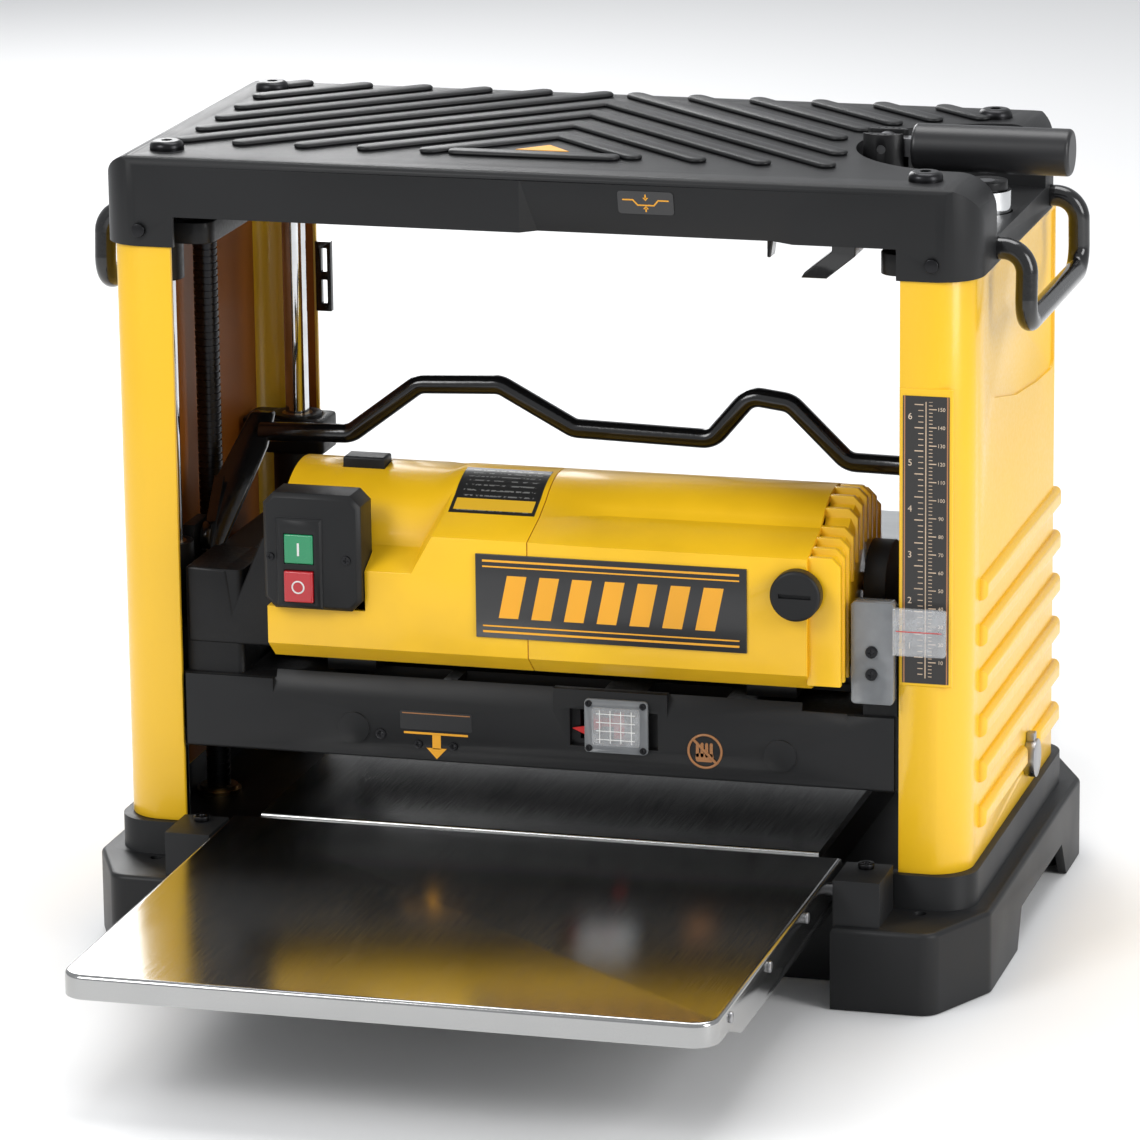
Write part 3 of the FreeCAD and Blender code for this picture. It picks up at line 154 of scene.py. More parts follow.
class Paint:
    # a material with one Principled shader and the nodes that feed it
    def __init__(self, name, **fixed):
        self.material = bpy.data.materials.new(name)
        self.material.use_nodes = True
        self.tree = self.material.node_tree
        self.shader = self.tree.nodes["Principled BSDF"]
        for key, value in fixed.items():
            words = key[0].upper() + "".join(" " + c if c.isupper() else c for c in key[1:])
            self.shader.inputs[words].default_value = value
        self.material.diffuse_color = (*self.shader.inputs["Base Color"].default_value[:3], 1)

    def add(self, kind, settings, values, output=0):
        node = self.tree.nodes.new(kind)
        for key, value in settings.items():
            if key == "stops":
                ramp = node.color_ramp
                while len(ramp.elements) < len(value):
                    ramp.elements.new(0.5)
                for element, (place, colour) in zip(ramp.elements, value):
                    element.position = place
                    element.color = (*colour, 1)
            else:
                setattr(node, key, value)
        for key, value in values.items():
            if isinstance(value, Wire):
                self.tree.links.new(value.socket, node.inputs[key])
            else:
                node.inputs[key].default_value = value
        return Wire(self, node.outputs[output])

    def number(self, operation, left, right):
        return self.add("ShaderNodeMath", {"operation": operation}, {0: left, 1: right}, "Value")

    def place(self, stretch=(1, 1, 1)):
        spot = self.add("ShaderNodeTexCoord", {}, {}, "Object")
        return self.add("ShaderNodeMapping", {}, {"Vector": spot, "Scale": stretch}, "Vector")

    def axes(self):
        split = self.tree.nodes.new("ShaderNodeSeparateXYZ")
        spot = self.add("ShaderNodeTexCoord", {}, {}, "Object")
        self.tree.links.new(spot.socket, split.inputs[0])
        return [Wire(self, s) for s in split.outputs]

    def noise(self, scale, detail=3.0, stretch=(1, 1, 1), rough=0.5):
        values = {"Vector": self.place(stretch), "Scale": scale, "Detail": detail, "Roughness": rough}
        return self.add("ShaderNodeTexNoise", {}, values, 0)

    def blend(self, share, first, second):
        return self.add("ShaderNodeMix", {"data_type": "RGBA"}, {0: share, 6: first, 7: second}, 2)

    def feed(self, **links):
        for key, wire in links.items():
            words = key[0].upper() + "".join(" " + c if c.isupper() else c for c in key[1:])
            self.tree.links.new(wire.socket, self.shader.inputs[words])

    def bump(self, height, strength, distance):
        normal = self.add("ShaderNodeBump", {},
                          {"Height": height, "Strength": strength, "Distance": distance}, "Normal")
        self.feed(normal=normal)


def rgb(red, green, blue):
    return (red, green, blue, 1.0)


def mouldedPlastic(name, colour, roughness, grain=0.12, coat=0.0, shine=0.5):
    # fine grain, faint cloudiness and a little handling polish
    paint = Paint(name, baseColor=colour, roughness=roughness, coatWeight=coat, coatRoughness=0.12)
    paint.shader.inputs["Specular IOR Level"].default_value = shine
    cloud = paint.noise(9.0, 4.0)
    fine = paint.noise(2600.0, 2.0)
    darker = tuple(c * 0.86 for c in colour[:3]) + (1.0,)
    lighter = tuple(min(1.0, c * 1.1) for c in colour[:3]) + (1.0,)
    paint.feed(baseColor=paint.blend(cloud.spread(0.3, 0.7), darker, lighter))
    paint.feed(roughness=cloud.spread(0.25, 0.75, roughness - 0.05, roughness + 0.06) + fine * 0.04)
    paint.bump(fine, grain, 0.0003)
    return paint.material


def powderCoat(name, colour, roughness, coat=0.35, shine=0.5):
    # sprayed paint with a slight orange-peel skin
    paint = Paint(name, baseColor=colour, roughness=roughness, coatWeight=coat, coatRoughness=0.14)
    paint.shader.inputs["Specular IOR Level"].default_value = shine
    peel = paint.noise(420.0, 2.0)
    cloud = paint.noise(6.0, 3.0)
    darker = tuple(c * 0.94 for c in colour[:3]) + (1.0,)
    paint.feed(baseColor=paint.blend(cloud.spread(0.35, 0.65), darker, colour))
    paint.feed(roughness=peel.spread(0.3, 0.7, roughness - 0.04, roughness + 0.05))
    paint.bump(peel, 0.10, 0.0006)
    return paint.material


def groundSteel(name, colour, roughness, streak, along="y"):
    # ground metal: fine streaks one way, a few wider bands
    stretch = {"x": (1, 60, 60), "y": (60, 1, 60), "z": (60, 60, 1)}[along]
    paint = Paint(name, baseColor=colour, roughness=roughness, metallic=1.0)
    lines = paint.noise(26.0, 5.0, stretch, 0.7)
    bands = paint.noise(5.0, 3.0, tuple(min(s, 6) for s in stretch))
    darker = tuple(c * 0.8 for c in colour[:3]) + (1.0,)
    paint.feed(baseColor=paint.blend(lines.spread(0.3, 0.7) * 0.6 + bands * 0.4, darker, colour))
    paint.feed(roughness=lines.spread(0.25, 0.75, roughness - streak, roughness + streak) + bands * 0.05)
    paint.bump(lines, 0.06, 0.0002)
    return paint.material


def turnedMetal(name, colour, roughness, spots=0.05):
    # machined or plated metal with soft smudges
    paint = Paint(name, baseColor=colour, roughness=roughness, metallic=1.0)
    smudge = paint.noise(55.0, 4.0)
    fine = paint.noise(900.0, 2.0)
    darker = tuple(c * 0.78 for c in colour[:3]) + (1.0,)
    paint.feed(baseColor=paint.blend(smudge.spread(0.3, 0.75), darker, colour))
    paint.feed(roughness=smudge.spread(0.3, 0.7, max(0.03, roughness - spots), roughness + spots))
    paint.bump(fine, 0.05, 0.0002)
    return paint.material


def clearPlastic(name, colour, roughness, alpha):
    paint = Paint(name, baseColor=colour, roughness=roughness, coatWeight=0.6, coatRoughness=0.05,
                  alpha=alpha)
    scuff = paint.noise(140.0, 4.0)
    paint.feed(roughness=scuff.spread(0.35, 0.75, roughness, roughness + 0.12))
    paint.feed(alpha=scuff.spread(0.3, 0.8, alpha, min(1.0, alpha + 0.12)))
    return paint.material


yellow = rgb(0.93, 0.545, 0.012)
charcoal = rgb(0.0105, 0.0108, 0.0115)
finishes = {
    "yellow_panel": powderCoat("yellowPowderCoat", yellow, 0.36),
    "yellow_housing": mouldedPlastic("yellowMoulding", rgb(0.93, 0.53, 0.010), 0.34, 0.05, 0.25),
    "black_moulding": mouldedPlastic("blackMoulding", charcoal, 0.42, 0.16, shine=0.3),
    "black_casting": powderCoat("blackCastingPaint", rgb(0.0065, 0.0065, 0.007), 0.46, 0.1, 0.25),
    "black_steel": powderCoat("blackTubePaint", rgb(0.006, 0.006, 0.0065), 0.16),
    "grip_plastic": mouldedPlastic("gripPlastic", rgb(0.012, 0.012, 0.013), 0.33, 0.10),
    "bed_steel": groundSteel("polishedBedSteel", rgb(0.47, 0.47, 0.465), 0.15, 0.04),
    "chrome": turnedMetal("brightChrome", rgb(0.80, 0.81, 0.82), 0.08, 0.03),
    "machine_steel": turnedMetal("machinedSteel", rgb(0.42, 0.42, 0.43), 0.32),
    "dark_screw": turnedMetal("blackOxideScrew", rgb(0.035, 0.035, 0.037), 0.34),
    "bronze": turnedMetal("turnedBronze", rgb(0.50, 0.33, 0.14), 0.33),
    "rubber": mouldedPlastic("footRubber", rgb(0.018, 0.018, 0.018), 0.75, 0.3),
    "clear_lens": clearPlastic("clearLens", rgb(0.82, 0.84, 0.86), 0.06, 0.22),
    "smoke_lens": clearPlastic("smokedPlastic", rgb(0.20, 0.21, 0.22), 0.10, 0.82),
    "winding": turnedMetal("copperWinding", rgb(0.42, 0.18, 0.07), 0.42),
    "green_button": mouldedPlastic("greenButton", rgb(0.012, 0.27, 0.11), 0.25, 0.05, 0.4),
    "red_button": mouldedPlastic("redButton", rgb(0.50, 0.012, 0.02), 0.25, 0.05, 0.4),
    "red_pointer": mouldedPlastic("redPointer", rgb(0.60, 0.015, 0.015), 0.3, 0.05),
    "chute_sheet": groundSteel("galvanisedSheet", rgb(0.36, 0.37, 0.38), 0.38, 0.06, "x"),
    "knife_steel": groundSteel("knifeSteel", rgb(0.6, 0.6, 0.61), 0.2, 0.04, "x"),
    "badge_print": mouldedPlastic("badgePlate", rgb(0.016, 0.016, 0.017), 0.3, 0.04, 0.3),
    "scale_print": mouldedPlastic("scaleFoil", rgb(0.012, 0.010, 0.009), 0.28, 0.04, 0.2),
}
extra = {
    "mark": mouldedPlastic("amberPrint", rgb(0.80, 0.36, 0.02), 0.4, 0.03),
    "copperMark": mouldedPlastic("copperPrint", rgb(0.36, 0.16, 0.06), 0.4, 0.03),
    "paleInk": mouldedPlastic("paleInk", rgb(0.62, 0.50, 0.38), 0.4, 0.03),
    "white": mouldedPlastic("whitePrint", rgb(0.78, 0.78, 0.76), 0.4, 0.03),
    # a darker copy of the panel yellow: painted shade for the column inner walls and the motor seam
    "paintedShadeYellow": mouldedPlastic("shadedYellowPaint", rgb(0.36, 0.105, 0.005), 0.45, 0.08),
    "strip": mouldedPlastic("amberStrip", rgb(0.88, 0.40, 0.02), 0.35, 0.05),
}
print("finishes made")


# shared tools
def nothingSelected():
    bpy.ops.object.select_all(action="DESELECT")


def takeUp(obj):
    nothingSelected()
    obj.select_set(True)
    bpy.context.view_layer.objects.active = obj


def applyModifier(obj, kind, **settings):
    takeUp(obj)
    modifier = obj.modifiers.new("step", kind)
    for key, value in settings.items():
        setattr(modifier, key, value)
    bpy.ops.object.modifier_apply(modifier="step")


def soften(obj, width, segments=2, angle=32):
    applyModifier(obj, "BEVEL", width=mm(width), segments=segments, limit_method="ANGLE",
                  angle_limit=math.radians(angle), harden_normals=False, use_clamp_overlap=True)
    smooth(obj)


def smooth(obj, angle=34):
    takeUp(obj)
    bpy.ops.object.shade_smooth_by_angle(angle=math.radians(angle))


def finishPiece(obj, name, body, slotName, material=None):
    takeUp(obj)
    bpy.ops.object.transform_apply(location=True, rotation=True, scale=True)
    obj.name = name
    obj.data.name = name
    obj.data.materials.clear()
    obj.data.materials.append(material or finishes[slotName])
    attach(obj, body)
    return obj


def block(low, high):
    nothingSelected()
    low, high = mm(*low), mm(*high)
    bpy.ops.mesh.primitive_cube_add(size=1.0, location=(low + high) / 2)
    obj = bpy.context.object
    obj.scale = high - low
    bpy.ops.object.transform_apply(location=True, rotation=True, scale=True)
    return obj


def disc(radius, place, depth, axis="z", sides=40):
    # a short cylinder whose base is at the place
    nothingSelected()
    turnTo = {"x": (0, math.pi / 2, 0), "y": (math.pi / 2, 0, 0), "z": (0, 0, 0)}[axis]
    middle = Vector(place)
    middle["xyz".index(axis)] += depth / 2
    bpy.ops.mesh.primitive_cylinder_add(vertices=sides, radius=mm(radius), depth=mm(depth),
                                        location=mm(*middle), rotation=turnTo)
    obj = bpy.context.object
    bpy.ops.object.transform_apply(location=True, rotation=True, scale=True)
    return obj


def plate(outline, axis, start, depth):
    # an outline in the plane across the axis, drawn as a ring of points and extruded along it
    nothingSelected()
    bpy.ops.mesh.primitive_circle_add(vertices=len(outline), fill_type="NGON")
    obj = bpy.context.object
    order = {"x": (1, 2), "y": (0, 2), "z": (0, 1)}[axis]
    for vertex, point in zip(obj.data.vertices, outline):
        spot = [start] * 3
        spot[order[0]], spot[order[1]] = point
        vertex.co = mm(*spot)
    bpy.ops.object.mode_set(mode="EDIT")
    bpy.ops.mesh.select_all(action="SELECT")
    move = [0.0, 0.0, 0.0]
    move["xyz".index(axis)] = mm(depth)
    bpy.ops.mesh.extrude_region_move(TRANSFORM_OT_translate={"value": move})
    bpy.ops.mesh.select_all(action="SELECT")
    bpy.ops.mesh.normals_make_consistent(inside=False)
    bpy.ops.object.mode_set(mode="OBJECT")
    return obj


def merge(objects):
    nothingSelected()
    for obj in objects:
        obj.select_set(True)
    bpy.context.view_layer.objects.active = objects[0]
    if len(objects) > 1:
        bpy.ops.object.join()
    return bpy.context.view_layer.objects.active


def roundedCorners(x0, x1, z0, z1, radius, steps=5):
    points = []
    for cx, cz, first in ((x1 - radius, z1 - radius, 0), (x0 + radius, z1 - radius, 90),
                          (x0 + radius, z0 + radius, 180), (x1 - radius, z0 + radius, 270)):
        for i in range(steps + 1):
            a = math.radians(first + 90 * i / steps)
            points.append((cx + radius * math.cos(a), cz + radius * math.sin(a)))
    return points


def rawCopy(node):
    # a copy of a frame node with its faces merged
    nothingSelected()
    obj = bpy.data.objects.new(node + "Copy", nodes[node].data.copy())
    bpy.context.scene.collection.objects.link(obj)
    takeUp(obj)
    bpy.ops.object.mode_set(mode="EDIT")
    bpy.ops.mesh.select_all(action="SELECT")
    bpy.ops.mesh.remove_doubles(threshold=0.00001)
    bpy.ops.mesh.dissolve_limited(angle_limit=math.radians(1.0))
    bpy.ops.object.mode_set(mode="OBJECT")
    return obj


def softCopy(node, name, width=0.8, segments=2, material=None):
    # the copy with softened edges, which stands for the node
    obj = rawCopy(node)
    soften(obj, width, segments, 40)
    finishPiece(obj, name, bodyOfNode[node], nodeSlot[node], material)
    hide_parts(node)
    return obj


# nodes of the frame keep their shape and take a finish
for node, obj in nodes.items():
    obj.data.materials.clear()
    obj.data.materials.append(finishes[nodeSlot[node]])
    smooth(obj, 30)
print("frame nodes finished")

# soft-edged copies of the visible mouldings and castings
softEdges = {
    "base": ("baseMoulding", 1.2, 2), "right_side_cover": ("rightCoverPanel", 0.7, 2),
    "left_side_cover": ("leftCoverPanel", 0.7, 2), "carriage_casting": ("carriageCasting", 1.0, 2),
    "top_cover": ("coverShell", 0.9, 3), "crank_arm": ("crankArm", 0.6, 2),
    "top_brackets": ("castBrackets", 1.0, 2), "gearbox_cover": ("gearLid", 0.6, 2),
    "clips": ("underCoverClips", 0.4, 1), "case_screws": ("caseScrews", 0.35, 2),
    "switch_box": ("switchHousing", 0.6, 2), "pointer_bracket": ("pointerHolder", 0.5, 2),
    "depth_stop_turret": ("depthStopKnob", 0.5, 2), "belt_cover": ("beltLid", 0.6, 2),
    "front_table": ("infeedTable", 0.5, 2), "rear_table": ("outfeedTable", 0.5, 2),
    "brush_caps": ("brushCap", 0.4, 2),
}
for node, (name, width, segments) in softEdges.items():
    softCopy(node, name, width, segments)
print("soft copies made")

# raised ribs on the top cover, in chevrons that point to the rear
topRibs = {
    "count": 10, "crossBar": (-52.0, 34.0), "shortest": 8.0, "emblemFoot": 443.9,
    "emblem": [(-24, -70), (6, -70), (-9, -54)],
    "foot": 443.6, "rise": 2.6, "width": 11.0, "slope": 0.944, "middle": -9.0, "firstApex": -31.0,
    "pitch": 34.0, "frontLeft": -87.0, "frontRight": -82.0, "rear": 96.0, "left": -210.0, "right": 212.0,
    "recess": (226.0, -10.0, 83.0),
}


def wideLine(points, width):
    # the outline of a bent line with round ends
    sides = [[], []]
    for i, point in enumerate(points):
        here = Vector(point)
        before = (here - Vector(points[i - 1])).normalized() if i else None
        after = (Vector(points[i + 1]) - here).normalized() if i < len(points) - 1 else None
        if before and after:
            tangent = (before + after).normalized()
            reach = width / 2 / max(0.3, tangent.dot(after))
        else:
            tangent = before or after
            reach = width / 2
        normal = Vector((-tangent.y, tangent.x))
        sides[0].append(here + normal * reach)
        sides[1].append(here - normal * reach)
    outline = []
    for side, end, other in ((sides[0], points[-1], points[-2]), (sides[1][::-1], points[0], points[1])):
        outline += [tuple(p) for p in side]
        out = (Vector(end) - Vector(other)).normalized()
        start = math.atan2(out.y, out.x) + math.pi / 2
        for k in range(1, 6):
            angle = start - math.pi * k / 6
            outline.append((end[0] + width / 2 * math.cos(angle), end[1] + width / 2 * math.sin(angle)))
    return outline


def clearOfRecess(start, end, steps=60):
    # the longest run of the line from its start that keeps off the crank recess
    x, y, radius = topRibs["recess"]
    last = start
    for i in range(steps + 1):
        spot = start.lerp(end, i / steps)
        if (spot - Vector((x, y))).length < radius:
            return last
        last = spot
    return end


ribLines = []
for i in range(topRibs["count"]):
    apex = Vector((topRibs["middle"], topRibs["firstApex"] + topRibs["pitch"] * i))
    lines = []
    for side, front, edge in ((-1, topRibs["frontLeft"], topRibs["left"]),
                              (1, topRibs["frontRight"], topRibs["right"])):
        low = Vector((apex.x + side * (apex.y - front) / topRibs["slope"], front))
        if abs(low.x) > abs(edge):
            low = Vector((edge, apex.y - topRibs["slope"] * abs(edge - apex.x)))
        high = apex
        if apex.y > topRibs["rear"]:
            high = Vector((apex.x + side * (apex.y - topRibs["rear"]) / topRibs["slope"], topRibs["rear"]))
        lines.append((high, clearOfRecess(high, low)))
    if apex.y <= topRibs["rear"]:
        ribLines.append([lines[0][1], apex, lines[1][1]])
    else:
        ribLines += [list(line) for line in lines if (line[0] - line[1]).length > topRibs["shortest"]]
ribLines.append([Vector((x, topRibs["frontLeft"])) for x in topRibs["crossBar"]])
ribs = []
for line in ribLines:
    rib = plate(wideLine([tuple(p) for p in line], topRibs["width"]), "z", topRibs["foot"],
                topRibs["rise"] + 0.4)
    soften(rib, 1.7, 3, 60)
    ribs.append(rib)
finishPiece(merge(ribs), "coverRibs", "frame", "black_moulding")
emblem = plate(topRibs["emblem"], "z", topRibs["emblemFoot"], 0.5)
finishPiece(emblem, "coverEmblem", "frame", "badge_print", extra["mark"])


def leanBack(obj, centre, degrees):
    # turns a piece about an X-parallel line through the centre
    middle = mm(*centre)
    turnIt = Matrix.Translation(middle) @ Matrix.Rotation(math.radians(degrees), 4, "X")
    obj.matrix_world = turnIt @ Matrix.Translation(-middle) @ obj.matrix_world
    takeUp(obj)
    bpy.ops.object.transform_apply(location=True, rotation=True, scale=True)
    return obj


# the small folding-table plate on the cover's front: a plain line drawing
iconPlate = {
    "x": (49.5, 80.4), "z": (423.3, 436.7), "face": -129.3, "lean": 13.6, "line": 0.8, "middle": 65.0,
    "lines": [[(52.5, 431.6), (58, 431.6), (60.5, 428.6), (69.5, 428.6), (72, 431.6), (77.5, 431.6)],
              [(65, 434.6), (65, 432.4)], [(65, 427.0), (65, 425.0)]],
    "arrows": [(431.2, 433.0), (428.2, 426.4)],
}
centre = (sum(iconPlate["x"]) / 2, iconPlate["face"], sum(iconPlate["z"]) / 2)
card = plate(roundedCorners(*iconPlate["x"], *iconPlate["z"], 2.0), "y", iconPlate["face"] - 0.5, 0.9)
finishPiece(leanBack(card, centre, iconPlate["lean"]), "iconPlate", "frame", "badge_print")
drawing = []
for line in iconPlate["lines"]:
    drawing.append(plate(wideLine(line, iconPlate["line"]), "y", iconPlate["face"] - 0.62, 0.3))
for tip, foot in iconPlate["arrows"]:
    middle = iconPlate["middle"]
    head = [(middle, tip), (middle - 1.6, foot), (middle + 1.6, foot)]
    drawing.append(plate(head, "y", iconPlate["face"] - 0.62, 0.3))
drawing = leanBack(merge(drawing), centre, iconPlate["lean"])
finishPiece(drawing, "iconDrawing", "frame", "badge_print", extra["mark"])
print("cover ribs and plate made")

# motor housing: lofted halves round a barrel, hollow, with a pocket for the switch
motor = {
    "barrel": (-80.0, 214.0, 53.0), "low": 168.0, "front": -150.0, "wall": 3.5,
    "arcEnd": -30.0, "arcSteps": 26, "switchPocket": ((-147.6, -170, 199.2), (-90.6, -134.0, 285)),
    "resetHole": ((-120.4, -92.4, 250), (-95.6, -77.6, 280)), "cordInlet": (-120, -40, 200),
    "brush": (153, -170, 224), "brushHole": 8.0,
    "left": [(-147, "round"), (-64, "round"), (-52, "middle"), (1.7, "middle")],
    "right": [(2.3, "middle"), (36, "flat"), (158, "flat")],
    "hollowEnds": (-137, 5, -2, 161),
    "capStations": [(158.5, 4.5), (172, 4.5), (174.5, 9.0)],
    "sections": {
        # upper front corner, then where the barrel starts
        "round": ((-150, 222), (-130, 232), 160.0),
        "middle": ((-150, 243.5), (-124, 251.3), 124.0),
        "flat": ((-150, 243), (-117, 252.3), 134.0),
    },
}


def motorSection(kind, inset=0.0):
    corner, shoulder, first = motor["sections"][kind]
    y, z, radius = motor["barrel"]
    front, low = motor["front"] + inset, motor["low"] + inset
    points = [(-34 - inset, low), (-138 + inset / 2, low), (front, 178 + inset / 2),
              (front, corner[1] - inset / 2), (shoulder[0] + inset / 3, shoulder[1] - inset)]
    for i in range(motor["arcSteps"] + 1):
        a = math.radians(first + (motor["arcEnd"] - first) * i / motor["arcSteps"])
        points.append((y + (radius - inset) * math.cos(a), z + (radius - inset) * math.sin(a)))
    return points


def loft(sections):
    # sections are (x, points); the skin runs from one to the next and both ends are closed
    obj = plate(sections[0][1], "x", sections[0][0], sections[1][0] - sections[0][0])
    for (xa, before), (xb, after) in zip(sections, sections[1:]):
        if xa != sections[0][0]:
            takeUp(obj)
            for part in (*obj.data.edges, *obj.data.vertices):
                part.select = False
            for polygon in obj.data.polygons:
                polygon.select = abs(polygon.center.x - mm(xa)) < 1e-6 and len(polygon.vertices) > 4
            bpy.ops.object.mode_set(mode="EDIT")
            bpy.ops.mesh.select_mode(type="FACE")
            bpy.ops.mesh.extrude_region_move(TRANSFORM_OT_translate={"value": (mm(xb - xa), 0, 0)})
            bpy.ops.mesh.select_mode(type="VERT")
            bpy.ops.object.mode_set(mode="OBJECT")
        for vertex in obj.data.vertices:
            if abs(vertex.co.x - mm(xb)) < 1e-6:
                nearest = min(range(len(before)),
                              key=lambda i: (vertex.co.yz - mm(0, *before[i]).yz).length)
                vertex.co = mm(xb, *after[nearest])
    takeUp(obj)
    bpy.ops.object.mode_set(mode="EDIT")
    bpy.ops.mesh.select_all(action="SELECT")
    bpy.ops.mesh.normals_make_consistent(inside=False)
    bpy.ops.object.mode_set(mode="OBJECT")
    return obj


def carve(obj, tools):
    for tool in tools:
        applyModifier(obj, "BOOLEAN", operation="DIFFERENCE", solver="EXACT", object=tool)
        bpy.data.objects.remove(tool)
    return obj


def motorHeight(kind, y):
    # height of the upper skin at a place from front to back
    points = [p for p in motorSection(kind)[3:] if p[1] > 200]
    for (ya, za), (yb, zb) in zip(points, points[1:]):
        if ya <= y <= yb:
            return za + (zb - za) * (y - ya) / max(1e-6, yb - ya)
    return points[-1][1]


def motorSkin(stations, inset=0.0):
    return loft([(x, motorSection(kind, inset)) for x, kind in stations])


startX, seamLeft, seamRight, endX = motor["hollowEnds"]
leftShell = motorSkin(motor["left"])
leftHollow = motorSkin([(startX, "round"), *motor["left"][1:3], (seamLeft, "middle")], motor["wall"])
carve(leftShell, [leftHollow, block(*motor["switchPocket"]), block(*motor["resetHole"]),
                  disc(3.6, motor["cordInlet"], 40, "y")])
soften(leftShell, 1.0, 2, 40)
finishPiece(leftShell, "motorShellLeft", "carriage", "yellow_housing")
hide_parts("motor_housing_left")
rightShell = motorSkin(motor["right"])
rightHollow = motorSkin([(seamRight, "middle"), motor["right"][1], (endX, "flat")], motor["wall"])
carve(rightShell, [rightHollow, disc(motor["brushHole"], motor["brush"], 40, "y")])
soften(rightShell, 1.0, 2, 40)
parts = [rightShell]
# the vented end: a set-back cap behind a row of upright fins
vents = {"places": (-147.5, -137.5, -127, -116, -105, -94, -83, -72, -61, -50), "thick": 4.2,
         "x": (157.5, 171, 176), "low": 172, "frontBefore": -120, "tall": 30, "drop": 5}
cap = loft([(x, motorSection("flat", inset)) for x, inset in motor["capStations"]])
y, z, radius = motor["barrel"]
carve(cap, [disc(36.0, (150, y, z), 16, "x"), disc(7.0, (160, y, z), 20, "x"),
            disc(motor["brushHole"], motor["brush"], 40, "y")])
soften(cap, 0.8, 2, 40)
parts.append(cap)
inner, bend, outer = vents["x"]
for y in vents["places"]:
    top = min(motorHeight("flat", y), motorHeight("flat", y + vents["thick"]))
    low = vents["low"] if y < vents["frontBefore"] else top - vents["tall"]
    outline = [(inner, low), (outer, low), (outer, top - vents["drop"]), (bend, top), (inner, top)]
    fin = plate(outline, "y", y, vents["thick"])
    soften(fin, 0.7, 2, 30)
    parts.append(fin)
finishPiece(merge(parts), "motorShellRight", "carriage", "yellow_housing")
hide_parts("motor_housing_right")
# the recessed seam ring between the two halves takes the darker yellow: painted shade in the joint
seam = motorSkin([(1.6, "middle"), (2.4, "middle")], 0.6)
seamHole = motorSkin([(1.0, "middle"), (3.0, "middle")], 3.0)
finishPiece(carve(seam, [seamHole]), "motorSeam", "carriage", "yellow_housing", extra["paintedShadeYellow"])
print("motor housing made")

# rating plate on the barrel: dark, an amber strip and plain ruled lines
ratingPaint = Paint("ratingPlate", baseColor=rgb(0.02, 0.02, 0.02), roughness=0.3, coatWeight=0.3,
                    coatRoughness=0.1)
across, deep, _ = ratingPaint.axes()
rows = (deep.repeat(0.0038) < 0.0005) * across.within(-0.046, -0.005)
broken = ratingPaint.noise(520.0, 1.0) > 0.47
amberRow = deep.within(-0.1215, -0.1125) * across.within(-0.048, -0.003)
ink = ratingPaint.blend(rows * broken * 0.35, rgb(0.02, 0.02, 0.02), rgb(0.55, 0.55, 0.53))
ratingPaint.feed(baseColor=ratingPaint.blend(amberRow, ink, rgb(0.85, 0.50, 0.03)))
label = {"x": (-50.0, -1.0), "y": (-124.0, -84.0), "lift": 0.25, "steps": 16}
nothingSelected()
bpy.ops.mesh.primitive_grid_add(x_subdivisions=2, y_subdivisions=label["steps"])
rating = bpy.context.object
for vertex in rating.data.vertices:
    x = label["x"][0] + (label["x"][1] - label["x"][0]) * (vertex.co.x + 1) / 2
    y = label["y"][0] + (label["y"][1] - label["y"][0]) * (vertex.co.y + 1) / 2
    vertex.co = mm(x, y, motorHeight("middle", y) + label["lift"])
applyModifier(rating, "SOLIDIFY", thickness=mm(0.4), offset=-1.0)
smooth(rating)
finishPiece(rating, "ratingLabel", "carriage", "badge_print", ratingPaint.material)

# name badge: a black plate with plain amber rules and a row of slanted bars instead of a mark
badge = {"x": (-27.0, 125.0), "z": (189.0, 236.0), "rules": ((3.0, 4.2), (6.4, 7.2)), "bars": 7,
         "firstBar": 13.0, "barStep": 18.4, "barWidth": 11.0, "barSlant": 5.0, "barMargin": 11.5}
softCopy("badge_plate", "badgeBlank", 0.3, 2)
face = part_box("badge_plate")[0].y * 1000
rules = []
x0, x1 = badge["x"]
z0, z1 = badge["z"]
for near, far in badge["rules"]:
    for low, high in ((z0 + near, z0 + far), (z1 - far, z1 - near)):
        rules.append(block((x0 + 4, face - 0.18, low), (x1 - 4, face + 0.1, high)))
low, high = z0 + badge["barMargin"], z1 - badge["barMargin"]
for i in range(badge["bars"]):
    left = x0 + badge["firstBar"] + badge["barStep"] * i
    right = left + badge["barWidth"]
    outline = [(left, low), (right, low), (right + badge["barSlant"], high), (left + badge["barSlant"], high)]
    rules.append(plate(outline, "y", face - 0.18, 0.3))
finishPiece(merge(rules), "badgeRules", "carriage", "badge_print", extra["strip"])
print("labels made")

# switch: symbols on the two buttons and the case's screws
button = {"x": -125.75, "start": (-158.5, 234.25), "stop": (-160.0, 213.25)}
softCopy("start_button", "greenPush", 0.5, 2)
softCopy("stop_button", "redPush", 0.5, 2)
softCopy("reset_button", "resetPush", 0.5, 2)
bar = block((button["x"] - 0.6, button["start"][0] - 0.15, button["start"][1] - 3.6),
            (button["x"] + 0.6, button["start"][0] + 0.2, button["start"][1] + 3.6))
finishPiece(bar, "startBar", "start", "green_button", extra["white"])


def flatRing(radius, thick, place, steps):
    # a ring that lies on a face towards the front
    nothingSelected()
    bpy.ops.mesh.primitive_torus_add(major_radius=mm(radius), minor_radius=mm(thick), major_segments=steps,
                                     minor_segments=8, location=mm(*place), rotation=(math.pi / 2, 0, 0))
    return bpy.context.object


ring = flatRing(3.3, 0.45, (button["x"], *button["stop"]), 36)
smooth(ring)
finishPiece(ring, "stopRing", "stop", "red_button", extra["white"])


def screwHead(x, y, z, radius, rise=1.2):
    # a round head on a face that looks to the front, with a cross recess
    head = disc(radius, (x, y - rise, z), rise + 0.4, "y", 28)
    long, short = radius * 0.55, radius * 0.12
    near, far = y - rise - 1, y - rise + 0.6
    carve(head, [block((x - long, near, z - short), (x + long, far, z + short)),
                 block((x - short, near, z - long), (x + short, far, z + long))])
    soften(head, short, 2, 40)
    return head


